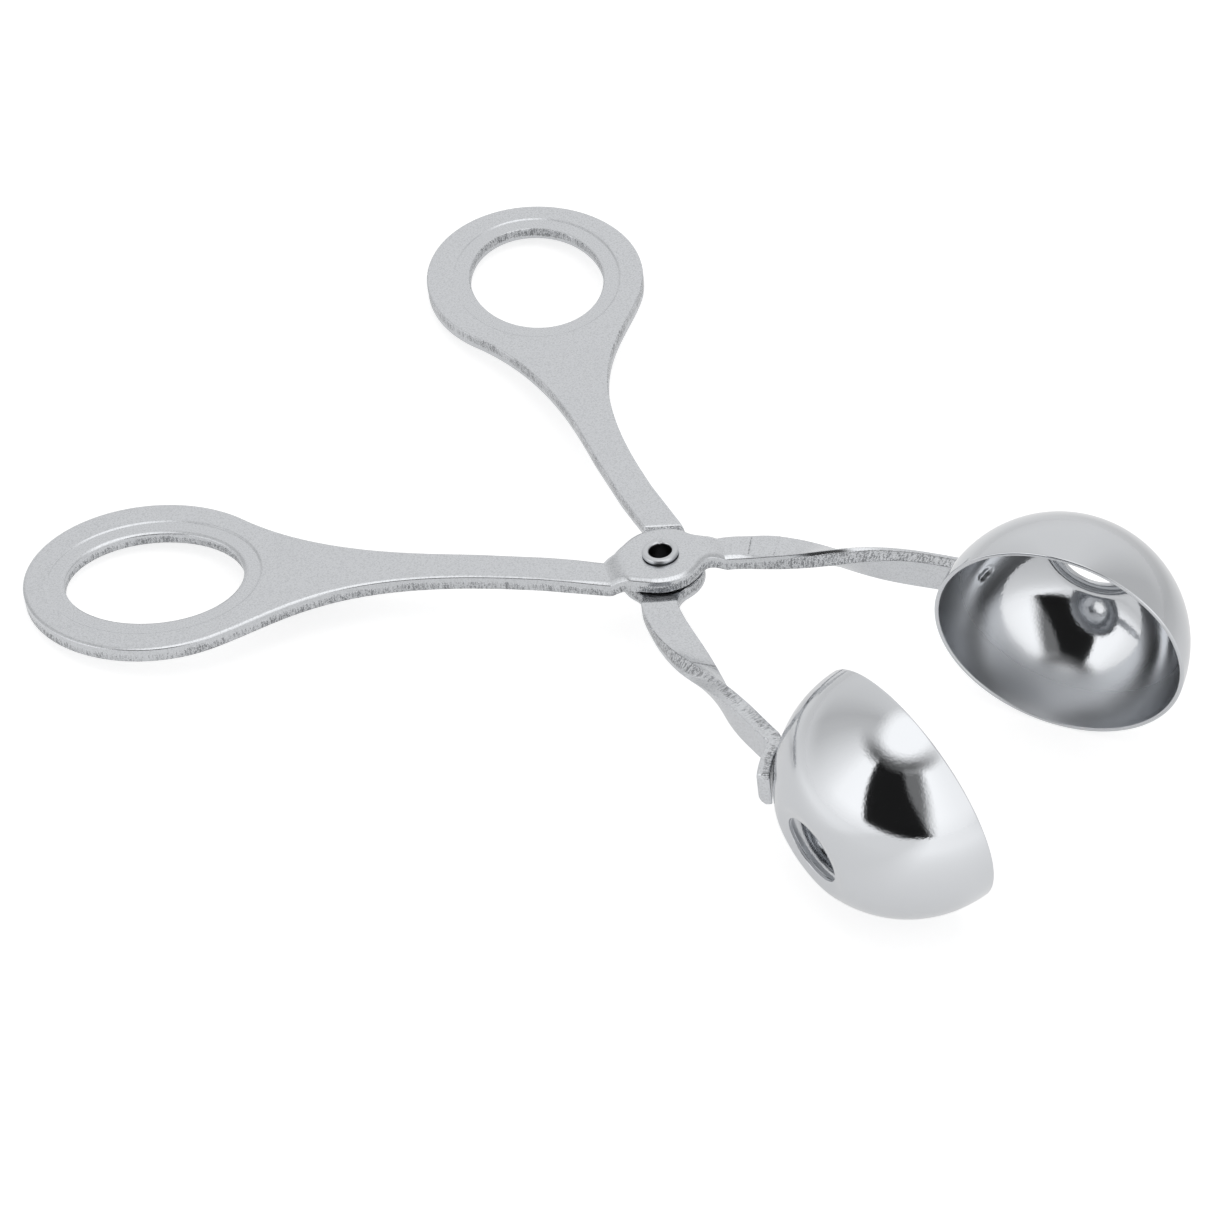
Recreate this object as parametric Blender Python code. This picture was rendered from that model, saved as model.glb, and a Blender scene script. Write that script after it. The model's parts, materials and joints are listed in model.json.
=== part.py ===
"""Meatball tongs: two alike pressed steel arms, crossed on one tubular rivet, each with half a ball mould.

The arms are one and the same pressing. The upper one lies as it is, the lower one is turned over about
the long axis, so that the joggled eyes stack at the pivot while handles and necks stay level.
Lengths are in metres. An arm is drawn shut: the pivot at the origin, the bowls towards +X, and the plane
in which the two bowls meet through the X axis.
"""

import math

import bmesh
import bpy
from mathutils import Matrix, Vector

# The strip that both arms are pressed from: one face has rolled edges, the other sheared ones
STOCK = 0.0030
STRIP_WIDTH = 0.0063
ROLLED_EDGE_RADIUS = 0.0007
SHEARED_EDGE_RADIUS = 0.0003
RUNNING_GAP = 0.0003

# Finger loop: an oval hole with a coined border, in a slightly rounder outline
HOLE_CENTRE_BACK = 0.0891
HOLE_CENTRE_OUT = 0.0304
HOLE_HALF_LENGTH = 0.01686
HOLE_HALF_WIDTH = 0.01283
HOLE_TURN = math.radians(16.3)
HOLE_EDGE_RADIUS = 0.0004
LOOP_CENTRE_BACK = 0.0896
LOOP_CENTRE_OUT = 0.0303
LOOP_HALF_LENGTH = 0.02434
LOOP_HALF_WIDTH = 0.02087
LOOP_TURN = math.radians(9.9)
COIN_WIDTH = 0.0030
COIN_DEPTH = 0.00028
COIN_SLOPE = 0.00030

# Where the outline leaves the loop's oval, and how it runs into the strip's straight edges
UPPER_LEAVE = math.radians(60)
LOWER_LEAVE = math.radians(312.3)
UPPER_REACH_SHARES = (0.185, 0.43)
LOWER_REACH_SHARES = (0.246, 0.628)
UPPER_STRAIGHT = 0.0124
LOWER_STRAIGHT = 0.0040

# Handle strip, where it leaves the loop's plate for the eye
HANDLE_END_BACK = 0.0200
HANDLE_END_OUT = 0.00785
HANDLE_HEADING = math.radians(12.4)

# Pivot eye, lifted out of the strip's plane by a joggle on each side, which starts inside the eye's rim.
# Towards the handle its two sides taper into the strip, on the inner side close to the eye.
EYE_RADIUS = 0.00775
EYE_FILLET = 0.0040
INNER_TAPER = 0.0002
OUTER_TAPER = 0.00235
EYE_HEADING = math.radians(36)
HANDLE_JOGGLE = 0.00235
NECK_JOGGLE = 0.00345
JOGGLE_START = 0.0010

# Neck, from the eye to the bowl: bowed outwards, then turned on edge
NECK_WIDTH = 0.0066
NECK_TIP_WIDTH = 0.0060
NECK_OFFSET = 0.0128
NECK_LEAD_IN = 0.0060
NECK_LEAD_OUT = 0.0130
NECK_TWIST = math.radians(90)
TWIST_START_SHARE = 0.13
TWIST_END_SHARE = 0.86
BEND_RADIUS = 0.0008
TAB_LENGTH = 0.0095
TAB_STOCK = 0.0024
TAB_CHAMFER = 0.0011

# Half-ball bowl, cut just past its widest so that the two rims meet, with a dished drain hole
BOWL_INNER_RADIUS = 0.02225
BOWL_WALL = 0.0008
RIM_LEAD = 0.0005
RIM_RADIUS = 0.0002
BOWL_REACH = 0.0759
BOWL_CANT = math.radians(8.3)
DISH_RADIUS = 0.0093
DISH_DEPTH = 0.0004
DISH_FILLET = 0.0010
DRAIN_RADIUS = 0.0064

# Tubular rivet: solid oval head below, hollow end rolled out above
RIVET_RADIUS = 0.0027
RIVET_BORE_RADIUS = 0.0021
RIVET_BORE_DEPTH = 0.0052
RIVET_BORE_POINT = 0.0008
RIVET_HEAD_RADIUS = 0.0042
RIVET_HEAD_HEIGHT = 0.0011
RIVET_HEAD_EDGE = 0.0003
ROLL_RADIUS = 0.00337
ROLL_HEIGHT = 0.00065

# Pose: how far each arm is turned from shut
HALF_OPENING = math.radians(16.55)

# Fineness of the curved surfaces, and the angle from which an edge shows as sharp
EDGE_STEPS = 2
OVAL_STEPS = 52
LOOP_STEPS = 40
FLARE_STEPS = 12
APPROACH_STEPS = 6
EYE_STEPS = 13
NECK_STEPS = 34
BEND_STEPS = 5
STRIP_CUTS = 2
BOWL_STEPS = 56
BOWL_ARC_STEPS = 8
RIVET_STEPS = 28
RIVET_ARC_STEPS = 5
BORE_STEPS = 28
SHARP_ANGLE = math.radians(35)

# Sizes that follow from those above
EYE_LIFT = (STOCK + RUNNING_GAP) / 2
EYE_TOP = EYE_LIFT + STOCK / 2
HANDLE_FOOT = EYE_RADIUS + HANDLE_JOGGLE
NECK_FOOT = EYE_RADIUS + NECK_JOGGLE
PIVOT_HOLE_RADIUS = RIVET_RADIUS + RUNNING_GAP
BOWL_RADIUS = BOWL_INNER_RADIUS + BOWL_WALL
TAB_PATH_RADIUS = BOWL_RADIUS + RUNNING_GAP + STOCK / 2
BEND_PATH_RADIUS = BEND_RADIUS + STOCK / 2


def clear_scene():
    """Start from an empty scene."""
    for thing in list(bpy.data.objects):
        bpy.data.objects.remove(thing, do_unlink=True)


def steel(name, colour, roughness):
    """Bare metal surface."""
    material = bpy.data.materials.new(name)
    material.use_nodes = True
    shader = material.node_tree.nodes["Principled BSDF"]
    shader.inputs["Base Color"].default_value = (*colour, 1.0)
    shader.inputs["Metallic"].default_value = 1.0
    shader.inputs["Roughness"].default_value = roughness
    material.diffuse_color = (*colour, 1.0)
    return material


def add_object(name, mesh, parent, material):
    """Put a mesh into the scene under its parent."""
    thing = bpy.data.objects.new(name, mesh)
    bpy.context.collection.objects.link(thing)
    thing.parent = parent
    if not mesh.materials:
        mesh.materials.append(material)
    return thing


def add_empty(name, parent=None):
    empty = bpy.data.objects.new(name, None)
    bpy.context.collection.objects.link(empty)
    empty.empty_display_size = EYE_RADIUS
    empty.parent = parent
    return empty


def finish_mesh(name, shape):
    """Turn a bmesh into a mesh with smooth curved faces."""
    bmesh.ops.recalc_face_normals(shape, faces=shape.faces)
    mesh = bpy.data.meshes.new(name)
    shape.to_mesh(mesh)
    shape.free()
    mesh.shade_smooth()
    mesh.set_sharp_from_angle(angle=SHARP_ANGLE)
    return mesh


def heading_vector(angle):
    return Vector((math.cos(angle), math.sin(angle)))


def left_of(direction):
    return Vector((-direction.y, direction.x))


def blend(low, high, value):
    """Smooth step from 0 at low to 1 at high."""
    share = min(max((value - low) / (high - low), 0), 1)
    return share * share * (3 - 2 * share)


def bezier(start, start_handle, end_handle, end, steps):
    """Points along one cubic curve, both ends included."""
    points = []
    for index in range(steps + 1):
        t = index / steps
        s = 1 - t
        points.append(
            start * s ** 3
            + start_handle * 3 * s * s * t
            + end_handle * 3 * s * t * t
            + end * t ** 3
        )
    return points


def curve_between(start, start_direction, end, end_direction, reach_shares, steps):
    """A cubic curve whose handles are shares of the distance between its ends."""
    span = (end - start).length
    start_handle = start + start_direction * span * reach_shares[0]
    end_handle = end - end_direction * span * reach_shares[1]
    return bezier(start, start_handle, end_handle, end, steps)


def edge_column(thickness, top_radius, bottom_radius):
    """Inset and height of the points down one rounded edge, from the top face to the bottom face."""
    column = []
    for index in range(EDGE_STEPS + 1):
        angle = math.pi / 2 * index / EDGE_STEPS
        column.append((
            top_radius * (1 - math.sin(angle)),
            thickness / 2 - top_radius * (1 - math.cos(angle)),
        ))
    for index in range(EDGE_STEPS + 1):
        angle = math.pi / 2 * index / EDGE_STEPS
        column.append((
            bottom_radius * (1 - math.cos(angle)),
            -thickness / 2 + bottom_radius * (1 - math.sin(angle)),
        ))
    return column


class Oval:
    """An ellipse in the arm's plane."""

    def __init__(self, back, out, half_length, half_width, turn):
        self.centre = Vector((-back, -out))
        self.half_length = half_length
        self.half_width = half_width
        self.along = heading_vector(turn)
        self.across = left_of(self.along)

    def point(self, angle, growth=0):
        """Point at an angle, with the oval grown outwards all round."""
        return (
            self.centre
            + self.along * (self.half_length + growth) * math.cos(angle)
            + self.across * (self.half_width + growth) * math.sin(angle)
        )

    def direction(self, angle):
        """Direction of travel at an angle, counter-clockwise."""
        travel = (
            self.across * self.half_width * math.cos(angle)
            - self.along * self.half_length * math.sin(angle)
        )
        return travel.normalized()


FINGER_HOLE = Oval(HOLE_CENTRE_BACK, HOLE_CENTRE_OUT, HOLE_HALF_LENGTH, HOLE_HALF_WIDTH, HOLE_TURN)
LOOP_OUTLINE = Oval(LOOP_CENTRE_BACK, LOOP_CENTRE_OUT, LOOP_HALF_LENGTH, LOOP_HALF_WIDTH, LOOP_TURN)


def handle_end():
    return Vector((-HANDLE_END_BACK, -HANDLE_END_OUT))


def handle_outline():
    """The plate's outer edge, from the strip's left side round the loop to its right side."""
    heading = heading_vector(HANDLE_HEADING)
    side = left_of(heading) * STRIP_WIDTH / 2
    upper_start = handle_end() + side
    lower_start = handle_end() - side
    upper = curve_between(
        upper_start - heading * UPPER_STRAIGHT, -heading,
        LOOP_OUTLINE.point(UPPER_LEAVE), LOOP_OUTLINE.direction(UPPER_LEAVE),
        UPPER_REACH_SHARES, FLARE_STEPS,
    )
    loop = [
        LOOP_OUTLINE.point(UPPER_LEAVE + (LOWER_LEAVE - UPPER_LEAVE) * index / LOOP_STEPS)
        for index in range(1, LOOP_STEPS)
    ]
    lower = curve_between(
        LOOP_OUTLINE.point(LOWER_LEAVE), LOOP_OUTLINE.direction(LOWER_LEAVE),
        lower_start - heading * LOWER_STRAIGHT, heading,
        LOWER_REACH_SHARES, FLARE_STEPS,
    )
    return [upper_start] + upper + loop + lower + [lower_start]


def outline_normals(points):
    """Outward direction at each point of a counter-clockwise open outline."""
    normals = []
    last = len(points) - 1
    for index in range(len(points)):
        travel = points[min(index + 1, last)] - points[max(index - 1, 0)]
        normals.append(-left_of(travel).normalized())
    return normals


def eye_half_width(distance, strip_half):
    """Half width where the round eye runs through a fillet into a straight strip."""
    fillet_distance = math.sqrt(
        (EYE_RADIUS + EYE_FILLET) ** 2 - (strip_half + EYE_FILLET) ** 2
    )
    tangent_distance = fillet_distance * EYE_RADIUS / (EYE_RADIUS + EYE_FILLET)
    if distance <= tangent_distance:
        return math.sqrt(EYE_RADIUS ** 2 - distance ** 2)
    if distance < fillet_distance:
        return strip_half + EYE_FILLET - math.sqrt(
            EYE_FILLET ** 2 - (fillet_distance - distance) ** 2
        )
    return strip_half


def taper_half_width(distance, strip_half, taper):
    """Half width on one side, where the round eye tapers straight down into the strip."""
    corner = EYE_RADIUS + taper
    touch = math.atan2(strip_half, corner) + math.acos(EYE_RADIUS / math.hypot(corner, strip_half))
    if distance <= EYE_RADIUS * math.cos(touch):
        return math.sqrt(EYE_RADIUS ** 2 - distance ** 2)
    if distance < corner:
        return (EYE_RADIUS - distance * math.cos(touch)) / math.sin(touch)
    return strip_half


def joggle_height(distance, length):
    """Height of the strip above its own plane: creased at the joggle's foot, rounded into the eye."""
    share = (distance - EYE_RADIUS + JOGGLE_START) / (length + JOGGLE_START)
    return EYE_LIFT * (1 - min(max(share, 0), 1) ** 2)


class Station:
    """One cross-section of the arm: its middle, its axes, its half width, and its thickness.

    A section thinner than the strip is pressed in from its top face.
    """

    def __init__(self, middle, across, upward, half, thickness=STOCK):
        self.middle = middle + upward * (thickness - STOCK) / 2
        self.across = across
        self.upward = upward
        self.half = half
        self.thickness = thickness

    def ring(self):
        """Points round the section: left edge going down, bottom face, right edge going up, top face."""
        column = edge_column(self.thickness, ROLLED_EDGE_RADIUS, SHEARED_EDGE_RADIUS)
        outline = [(self.half - inset, height) for inset, height in column]
        outline += self.face_cuts(SHEARED_EDGE_RADIUS, 1, -self.thickness / 2)
        outline += [(inset - self.half, height) for inset, height in reversed(column)]
        outline += self.face_cuts(ROLLED_EDGE_RADIUS, -1, self.thickness / 2)
        return [self.middle + self.across * x + self.upward * z for x, z in outline]

    def face_cuts(self, edge_radius, side, height):
        """Points that divide one flat face, taken from the given side."""
        reach = side * (self.half - edge_radius)
        return [
            (reach * (1 - 2 * index / (STRIP_CUTS + 1)), height)
            for index in range(1, STRIP_CUTS + 1)
        ]


def level_station(point, heading, half, lift=0):
    """A station of the flat part of the arm."""
    side = left_of(heading)
    return Station(Vector((point.x, point.y, lift)), Vector((side.x, side.y, 0)), Vector((0, 0, 1)), half)


def eye_stations():
    """From the plate's end through the eye to where the neck starts."""
    eye_way = heading_vector(EYE_HEADING)
    start = handle_end()
    foot = -eye_way * HANDLE_FOOT
    approach = math.atan2(foot.y - start.y, foot.x - start.x)
    stations = [level_station(start, heading_vector(HANDLE_HEADING), STRIP_WIDTH / 2)]
    for index in range(1, APPROACH_STEPS):
        share = index / APPROACH_STEPS
        cut = HANDLE_HEADING + (EYE_HEADING - HANDLE_HEADING) * share * share
        half = STRIP_WIDTH / 2 / math.cos(cut - approach)
        stations.append(level_station(start.lerp(foot, share), heading_vector(cut), half))
    handle_half = STRIP_WIDTH / 2 / math.cos(EYE_HEADING - approach)
    for index in range(EYE_STEPS, 0, -1):
        distance = HANDLE_FOOT * math.sin(math.pi / 2 * index / EYE_STEPS)
        inner = taper_half_width(distance, handle_half, INNER_TAPER)
        outer = taper_half_width(distance, handle_half, OUTER_TAPER)
        middle = left_of(eye_way) * (inner - outer) / 2 - eye_way * distance
        lift = joggle_height(distance, HANDLE_JOGGLE)
        stations.append(level_station(middle, eye_way, (inner + outer) / 2, lift))
    for index in range(EYE_STEPS + 1):
        distance = NECK_FOOT * math.sin(math.pi / 2 * index / EYE_STEPS)
        half = eye_half_width(distance, NECK_WIDTH / 2)
        lift = joggle_height(distance, NECK_JOGGLE)
        stations.append(level_station(eye_way * distance, eye_way, half, lift))
    return stations


def ball_centre():
    """Centre of the bowl's ball in the arm's plane."""
    return Vector((BOWL_REACH, RIM_LEAD * math.cos(BOWL_CANT)))


def bend_centre():
    """Centre of the bend that turns the neck from its straight run onto the bowl."""
    centre = ball_centre()
    rise = NECK_OFFSET + BEND_PATH_RADIUS - centre.y
    run = math.sqrt((TAB_PATH_RADIUS + BEND_PATH_RADIUS) ** 2 - rise ** 2)
    return Vector((centre.x - run, NECK_OFFSET + BEND_PATH_RADIUS))


def neck_stations():
    """The bowed and twisted neck, up to its bend at the bowl."""
    eye_way = heading_vector(EYE_HEADING)
    forward = Vector((1, 0))
    start = eye_way * NECK_FOOT
    end = Vector((bend_centre().x, NECK_OFFSET))
    plan = bezier(
        start, start + eye_way * NECK_LEAD_IN, end - forward * NECK_LEAD_OUT, end, NECK_STEPS
    )
    reach = [0]
    for first, second in zip(plan, plan[1:]):
        reach.append(reach[-1] + (second - first).length)
    stations = []
    for index in range(1, NECK_STEPS + 1):
        share = reach[index] / reach[-1]
        twist = NECK_TWIST * blend(TWIST_START_SHARE, TWIST_END_SHARE, share)
        travel = plan[min(index + 1, NECK_STEPS)] - plan[index - 1]
        way = forward if index == NECK_STEPS else travel.normalized()
        side = Vector((-way.y, way.x, 0))
        across = side * math.cos(twist) - Vector((0, 0, math.sin(twist)))
        upward = side * math.sin(twist) + Vector((0, 0, math.cos(twist)))
        half = (NECK_WIDTH + (NECK_TIP_WIDTH - NECK_WIDTH) * share) / 2
        stations.append(Station(Vector((plan[index].x, plan[index].y, 0)), across, upward, half))
    return stations


def tab_stations():
    """The neck's end: bent and pressed onto the bowl, rolled to its curve, and chamfered."""
    centre = bend_centre()
    ball = ball_centre()
    toward = ball - centre
    heading_end = math.pi / 2 - math.atan2(-toward.y, toward.x)
    stations = []
    for index in range(1, BEND_STEPS + 1):
        heading = heading_end * index / BEND_STEPS
        point = centre - left_of(heading_vector(heading)) * BEND_PATH_RADIUS
        thickness = STOCK + (TAB_STOCK - STOCK) * index / BEND_STEPS
        stations.append(tab_station(point, heading, thickness))
    lengths = [(TAB_LENGTH - TAB_CHAMFER) * index / BEND_STEPS for index in range(1, BEND_STEPS + 1)]
    ends = [(length, TAB_STOCK) for length in lengths] + [(TAB_LENGTH, TAB_STOCK - TAB_CHAMFER)]
    for length, thickness in ends:
        heading = heading_end - length / TAB_PATH_RADIUS
        point = ball + left_of(heading_vector(heading)) * TAB_PATH_RADIUS
        stations.append(tab_station(point, heading, thickness))
    return stations


def tab_station(point, heading, thickness):
    """A station of the neck after its twist, where its faces stand upright."""
    outward = left_of(heading_vector(heading))
    return Station(
        Vector((point.x, point.y, 0)), Vector((0, 0, -1)), Vector((outward.x, outward.y, 0)),
        NECK_TIP_WIDTH / 2, thickness,
    )


def bridge_rings(shape, first, second, closed=True):
    """Quads between two rows of vertices of the same length."""
    count = len(first)
    for index in range(count if closed else count - 1):
        following = (index + 1) % count
        shape.faces.new((first[index], first[following], second[following], second[index]))


def fill_with_hole(shape, outer, inner):
    """Flat face between an outer loop of vertices and a hole."""
    edges = []
    for loop in (outer, inner):
        for index, vertex in enumerate(loop):
            following = loop[(index + 1) % len(loop)]
            edge = shape.edges.get((vertex, following))
            edges.append(edge or shape.edges.new((vertex, following)))
    bmesh.ops.triangle_fill(shape, use_beauty=True, edges=edges)


def oval_ring(shape, growth, height):
    ring = []
    for index in range(OVAL_STEPS):
        point = FINGER_HOLE.point(2 * math.pi * index / OVAL_STEPS, growth)
        ring.append(shape.verts.new((point.x, point.y, height)))
    return ring


def finger_hole_rings(shape):
    """Rings down through the finger hole: coined step, border, rounded edge, and the same below."""
    half = STOCK / 2
    floor = half - COIN_DEPTH
    rings = [
        oval_ring(shape, COIN_WIDTH + COIN_SLOPE, half),
        oval_ring(shape, COIN_WIDTH, floor),
    ]
    for inset, height in edge_column(2 * floor, HOLE_EDGE_RADIUS, HOLE_EDGE_RADIUS):
        rings.append(oval_ring(shape, inset, height))
    rings.append(oval_ring(shape, COIN_WIDTH, -floor))
    rings.append(oval_ring(shape, COIN_WIDTH + COIN_SLOPE, -half))
    return rings


def add_plate(shape, end_ring):
    """The handle's plate with its finger loop, joined to the first section of the strip."""
    outline = handle_outline()
    normals = outline_normals(outline)
    column = edge_column(STOCK, ROLLED_EDGE_RADIUS, SHEARED_EDGE_RADIUS)
    depth = len(column)
    right_start = depth + STRIP_CUTS
    bottom_cut = end_ring[depth:right_start]
    top_cut = end_ring[right_start + depth:]
    columns = [end_ring[:depth]]
    for point, normal in zip(outline[1:-1], normals[1:-1]):
        columns.append([
            shape.verts.new((point.x - normal.x * inset, point.y - normal.y * inset, height))
            for inset, height in column
        ])
    columns.append(list(reversed(end_ring[right_start:right_start + depth])))
    for first, second in zip(columns, columns[1:]):
        bridge_rings(shape, first, second, closed=False)
    hole = finger_hole_rings(shape)
    for first, second in zip(hole, hole[1:]):
        bridge_rings(shape, first, second)
    fill_with_hole(shape, [line[0] for line in columns] + top_cut, hole[0])
    fill_with_hole(shape, [line[-1] for line in columns] + list(reversed(bottom_cut)), hole[-1])


def build_arm_mesh():
    """The whole pressing as one closed skin."""
    shape = bmesh.new()
    stations = eye_stations() + neck_stations() + tab_stations()
    rings = [[shape.verts.new(point) for point in station.ring()] for station in stations]
    for first, second in zip(rings, rings[1:]):
        bridge_rings(shape, first, second)
    shape.faces.new(rings[-1])
    add_plate(shape, rings[0])
    return finish_mesh("pressed_arm", shape)


def turned_mesh(name, profile, steps):
    """Body of revolution about Z, from a profile that is closed or has both its ends on the axis."""
    shape = bmesh.new()
    rings = []
    for radius, height in profile:
        if radius == 0:
            rings.append([shape.verts.new((0, 0, height))])
            continue
        ring = []
        for index in range(steps):
            way = heading_vector(2 * math.pi * index / steps)
            ring.append(shape.verts.new((radius * way.x, radius * way.y, height)))
        rings.append(ring)
    pairs = list(zip(rings, rings[1:]))
    if len(rings[0]) > 1:
        pairs.append((rings[-1], rings[0]))
    for first, second in pairs:
        if len(first) == len(second):
            bridge_rings(shape, first, second)
            continue
        tip, ring = (first, second) if len(first) == 1 else (second, first)
        for index in range(steps):
            shape.faces.new((tip[0], ring[index], ring[(index + 1) % steps]))
    return finish_mesh(name, shape)


def ball_arc(radius, start, end):
    """Profile of a ball between two angles from its pole, with the ball's centre beyond the rim's plane."""
    points = []
    for index in range(BOWL_ARC_STEPS + 1):
        angle = start + (end - start) * index / BOWL_ARC_STEPS
        points.append((radius * math.sin(angle), RIM_LEAD + radius * math.cos(angle)))
    return points


def bowl_side(radius, dish_height):
    """One skin of the bowl, from the drain hole over the dish's rounded edge to the rim."""
    edge = math.asin(DISH_RADIUS / radius)
    fillet = DISH_FILLET / radius
    rim = math.acos((RIM_RADIUS - RIM_LEAD) / radius)
    slope = DISH_DEPTH / (DISH_RADIUS - DRAIN_RADIUS)
    arc = ball_arc(radius, edge + fillet, rim)
    start = DISH_RADIUS - DISH_FILLET
    return [
        (DRAIN_RADIUS, dish_height - DISH_DEPTH),
        (start, dish_height - slope * DISH_FILLET),
        (DISH_RADIUS, dish_height - slope * DISH_FILLET / 2),
    ] + arc


def build_bowl_mesh():
    """Half-ball shell: the rim lies in the local XY plane, and the drain hole is at the pole."""
    outer_height = RIM_LEAD + math.sqrt(BOWL_RADIUS ** 2 - DISH_RADIUS ** 2)
    outer = bowl_side(BOWL_RADIUS, outer_height)
    inner = bowl_side(BOWL_INNER_RADIUS, outer_height - BOWL_WALL)
    lip = [(outer[-1][0] - RIM_RADIUS, 0), (inner[-1][0] + RIM_RADIUS, 0)]
    return turned_mesh("half_ball", outer + lip + list(reversed(inner)), BOWL_STEPS)


def build_rivet_mesh():
    """Tubular rivet, standing on the pivot: solid head down, rolled end up."""
    seat = EYE_TOP + RUNNING_GAP
    floor = seat + ROLL_HEIGHT - RIVET_BORE_DEPTH
    dome = RIVET_HEAD_HEIGHT - RIVET_HEAD_EDGE
    roll_middle = (ROLL_RADIUS + RIVET_BORE_RADIUS) / 2
    roll_half = (ROLL_RADIUS - RIVET_BORE_RADIUS) / 2
    profile = [(0, -seat - RIVET_HEAD_HEIGHT)]
    for index in range(1, RIVET_ARC_STEPS + 1):
        angle = math.pi / 2 * index / RIVET_ARC_STEPS
        profile.append((
            RIVET_HEAD_RADIUS * math.sin(angle),
            -seat - RIVET_HEAD_EDGE - dome * math.cos(angle),
        ))
    profile.append((RIVET_HEAD_RADIUS, -seat))
    profile.append((RIVET_RADIUS, -seat))
    profile.append((RIVET_RADIUS, seat))
    for index in range(RIVET_ARC_STEPS + 1):
        angle = math.pi * index / RIVET_ARC_STEPS
        profile.append((
            roll_middle + roll_half * math.cos(angle),
            seat + ROLL_HEIGHT * math.sin(angle),
        ))
    profile.append((RIVET_BORE_RADIUS, floor))
    profile.append((0, floor - RIVET_BORE_POINT))
    return turned_mesh("tubular_rivet", profile, RIVET_STEPS)


def resting_tilt():
    """Slope of the arms when loops and bowls lie on a table."""
    ball = ball_centre()
    ball_x = ball.x * math.cos(HALF_OPENING) - ball.y * math.sin(HALF_OPENING)
    turn = Matrix.Rotation(HALF_OPENING, 2)
    loop_end = max(-(turn @ point).x for point in handle_outline())
    along = ball_x + loop_end - SHEARED_EDGE_RADIUS
    level = STOCK / 2 - SHEARED_EDGE_RADIUS - RIM_LEAD * math.sin(BOWL_CANT)
    drop = BOWL_RADIUS - SHEARED_EDGE_RADIUS
    return math.asin(drop / math.hypot(along, level)) - math.atan2(level, along)


def add_pivot_cutter(parent):
    """Guide that bores both eyes."""
    shape = bmesh.new()
    bmesh.ops.create_cone(
        shape, cap_ends=True, segments=BORE_STEPS,
        radius1=PIVOT_HOLE_RADIUS, radius2=PIVOT_HOLE_RADIUS, depth=4 * EYE_TOP,
    )
    mesh = bpy.data.meshes.new("pivot_bore")
    shape.to_mesh(mesh)
    shape.free()
    cutter = bpy.data.objects.new("pivot_bore", mesh)
    bpy.context.collection.objects.link(cutter)
    cutter.parent = parent
    cutter.hide_render = True
    cutter.display_type = "WIRE"
    return cutter


def bore(arm, cutter):
    cut = arm.modifiers.new("pivot_bore", "BOOLEAN")
    cut.operation = "DIFFERENCE"
    cut.solver = "EXACT"
    cut.object = cutter


def stand_on_origin(frame, pieces):
    """Move the whole so that the middle of its box's underside is at the origin."""
    bpy.context.view_layer.update()
    corners = [piece.matrix_world @ vertex.co for piece in pieces for vertex in piece.data.vertices]
    low = [min(corner[axis] for corner in corners) for axis in range(3)]
    high = [max(corner[axis] for corner in corners) for axis in range(3)]
    frame.location -= Vector(((low[0] + high[0]) / 2, (low[1] + high[1]) / 2, low[2]))
    bpy.context.view_layer.update()


def main():
    clear_scene()
    satin = steel("satin_plated_steel", (0.58, 0.59, 0.61), 0.32)
    mirror = steel("mirror_plated_steel", (0.66, 0.67, 0.69), 0.06)
    rivet_steel = steel("bright_rivet_steel", (0.52, 0.53, 0.55), 0.22)

    frame = add_empty("resting_frame")
    frame.rotation_euler = (0, -resting_tilt(), 0)
    upper_pivot = add_empty("upper_pivot", frame)
    upper_pivot.rotation_euler = (0, 0, HALF_OPENING)
    lower_pivot = add_empty("lower_pivot", frame)
    lower_pivot.rotation_euler = (math.pi, 0, -HALF_OPENING)

    arm_mesh = build_arm_mesh()
    bowl_mesh = build_bowl_mesh()
    cutter = add_pivot_cutter(frame)
    pieces = []
    for side, pivot in (("upper", upper_pivot), ("lower", lower_pivot)):
        arm = add_object(side + "_arm", arm_mesh, pivot, satin)
        bore(arm, cutter)
        bowl = add_object(side + "_bowl", bowl_mesh, arm, mirror)
        bowl.location = (BOWL_REACH, 0, 0)
        bowl.rotation_euler = (BOWL_CANT - math.pi / 2, 0, 0)
        pieces += [arm, bowl]
    pieces.append(add_object("pivot_rivet", build_rivet_mesh(), frame, rivet_steel))
    stand_on_origin(frame, pieces)


main()
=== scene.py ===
"""Meatball tongs, dressed: two pressed arms, two mirror bowls and a rolled rivet, in a light tent.

The pieces repeat the forms of the frame's solids at a finer step, with the rounded edges, tool marks and
plated finishes that the solids leave out. Lengths are in metres. An arm is drawn shut, with the pivot at
the origin, the bowl towards +X, and the plane in which the two bowls meet through the X axis.
"""

import json
import math

import bmesh
import bpy
from bpy.props import FloatProperty, FloatVectorProperty, PointerProperty
from mathutils import Matrix, Quaternion, Vector


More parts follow.
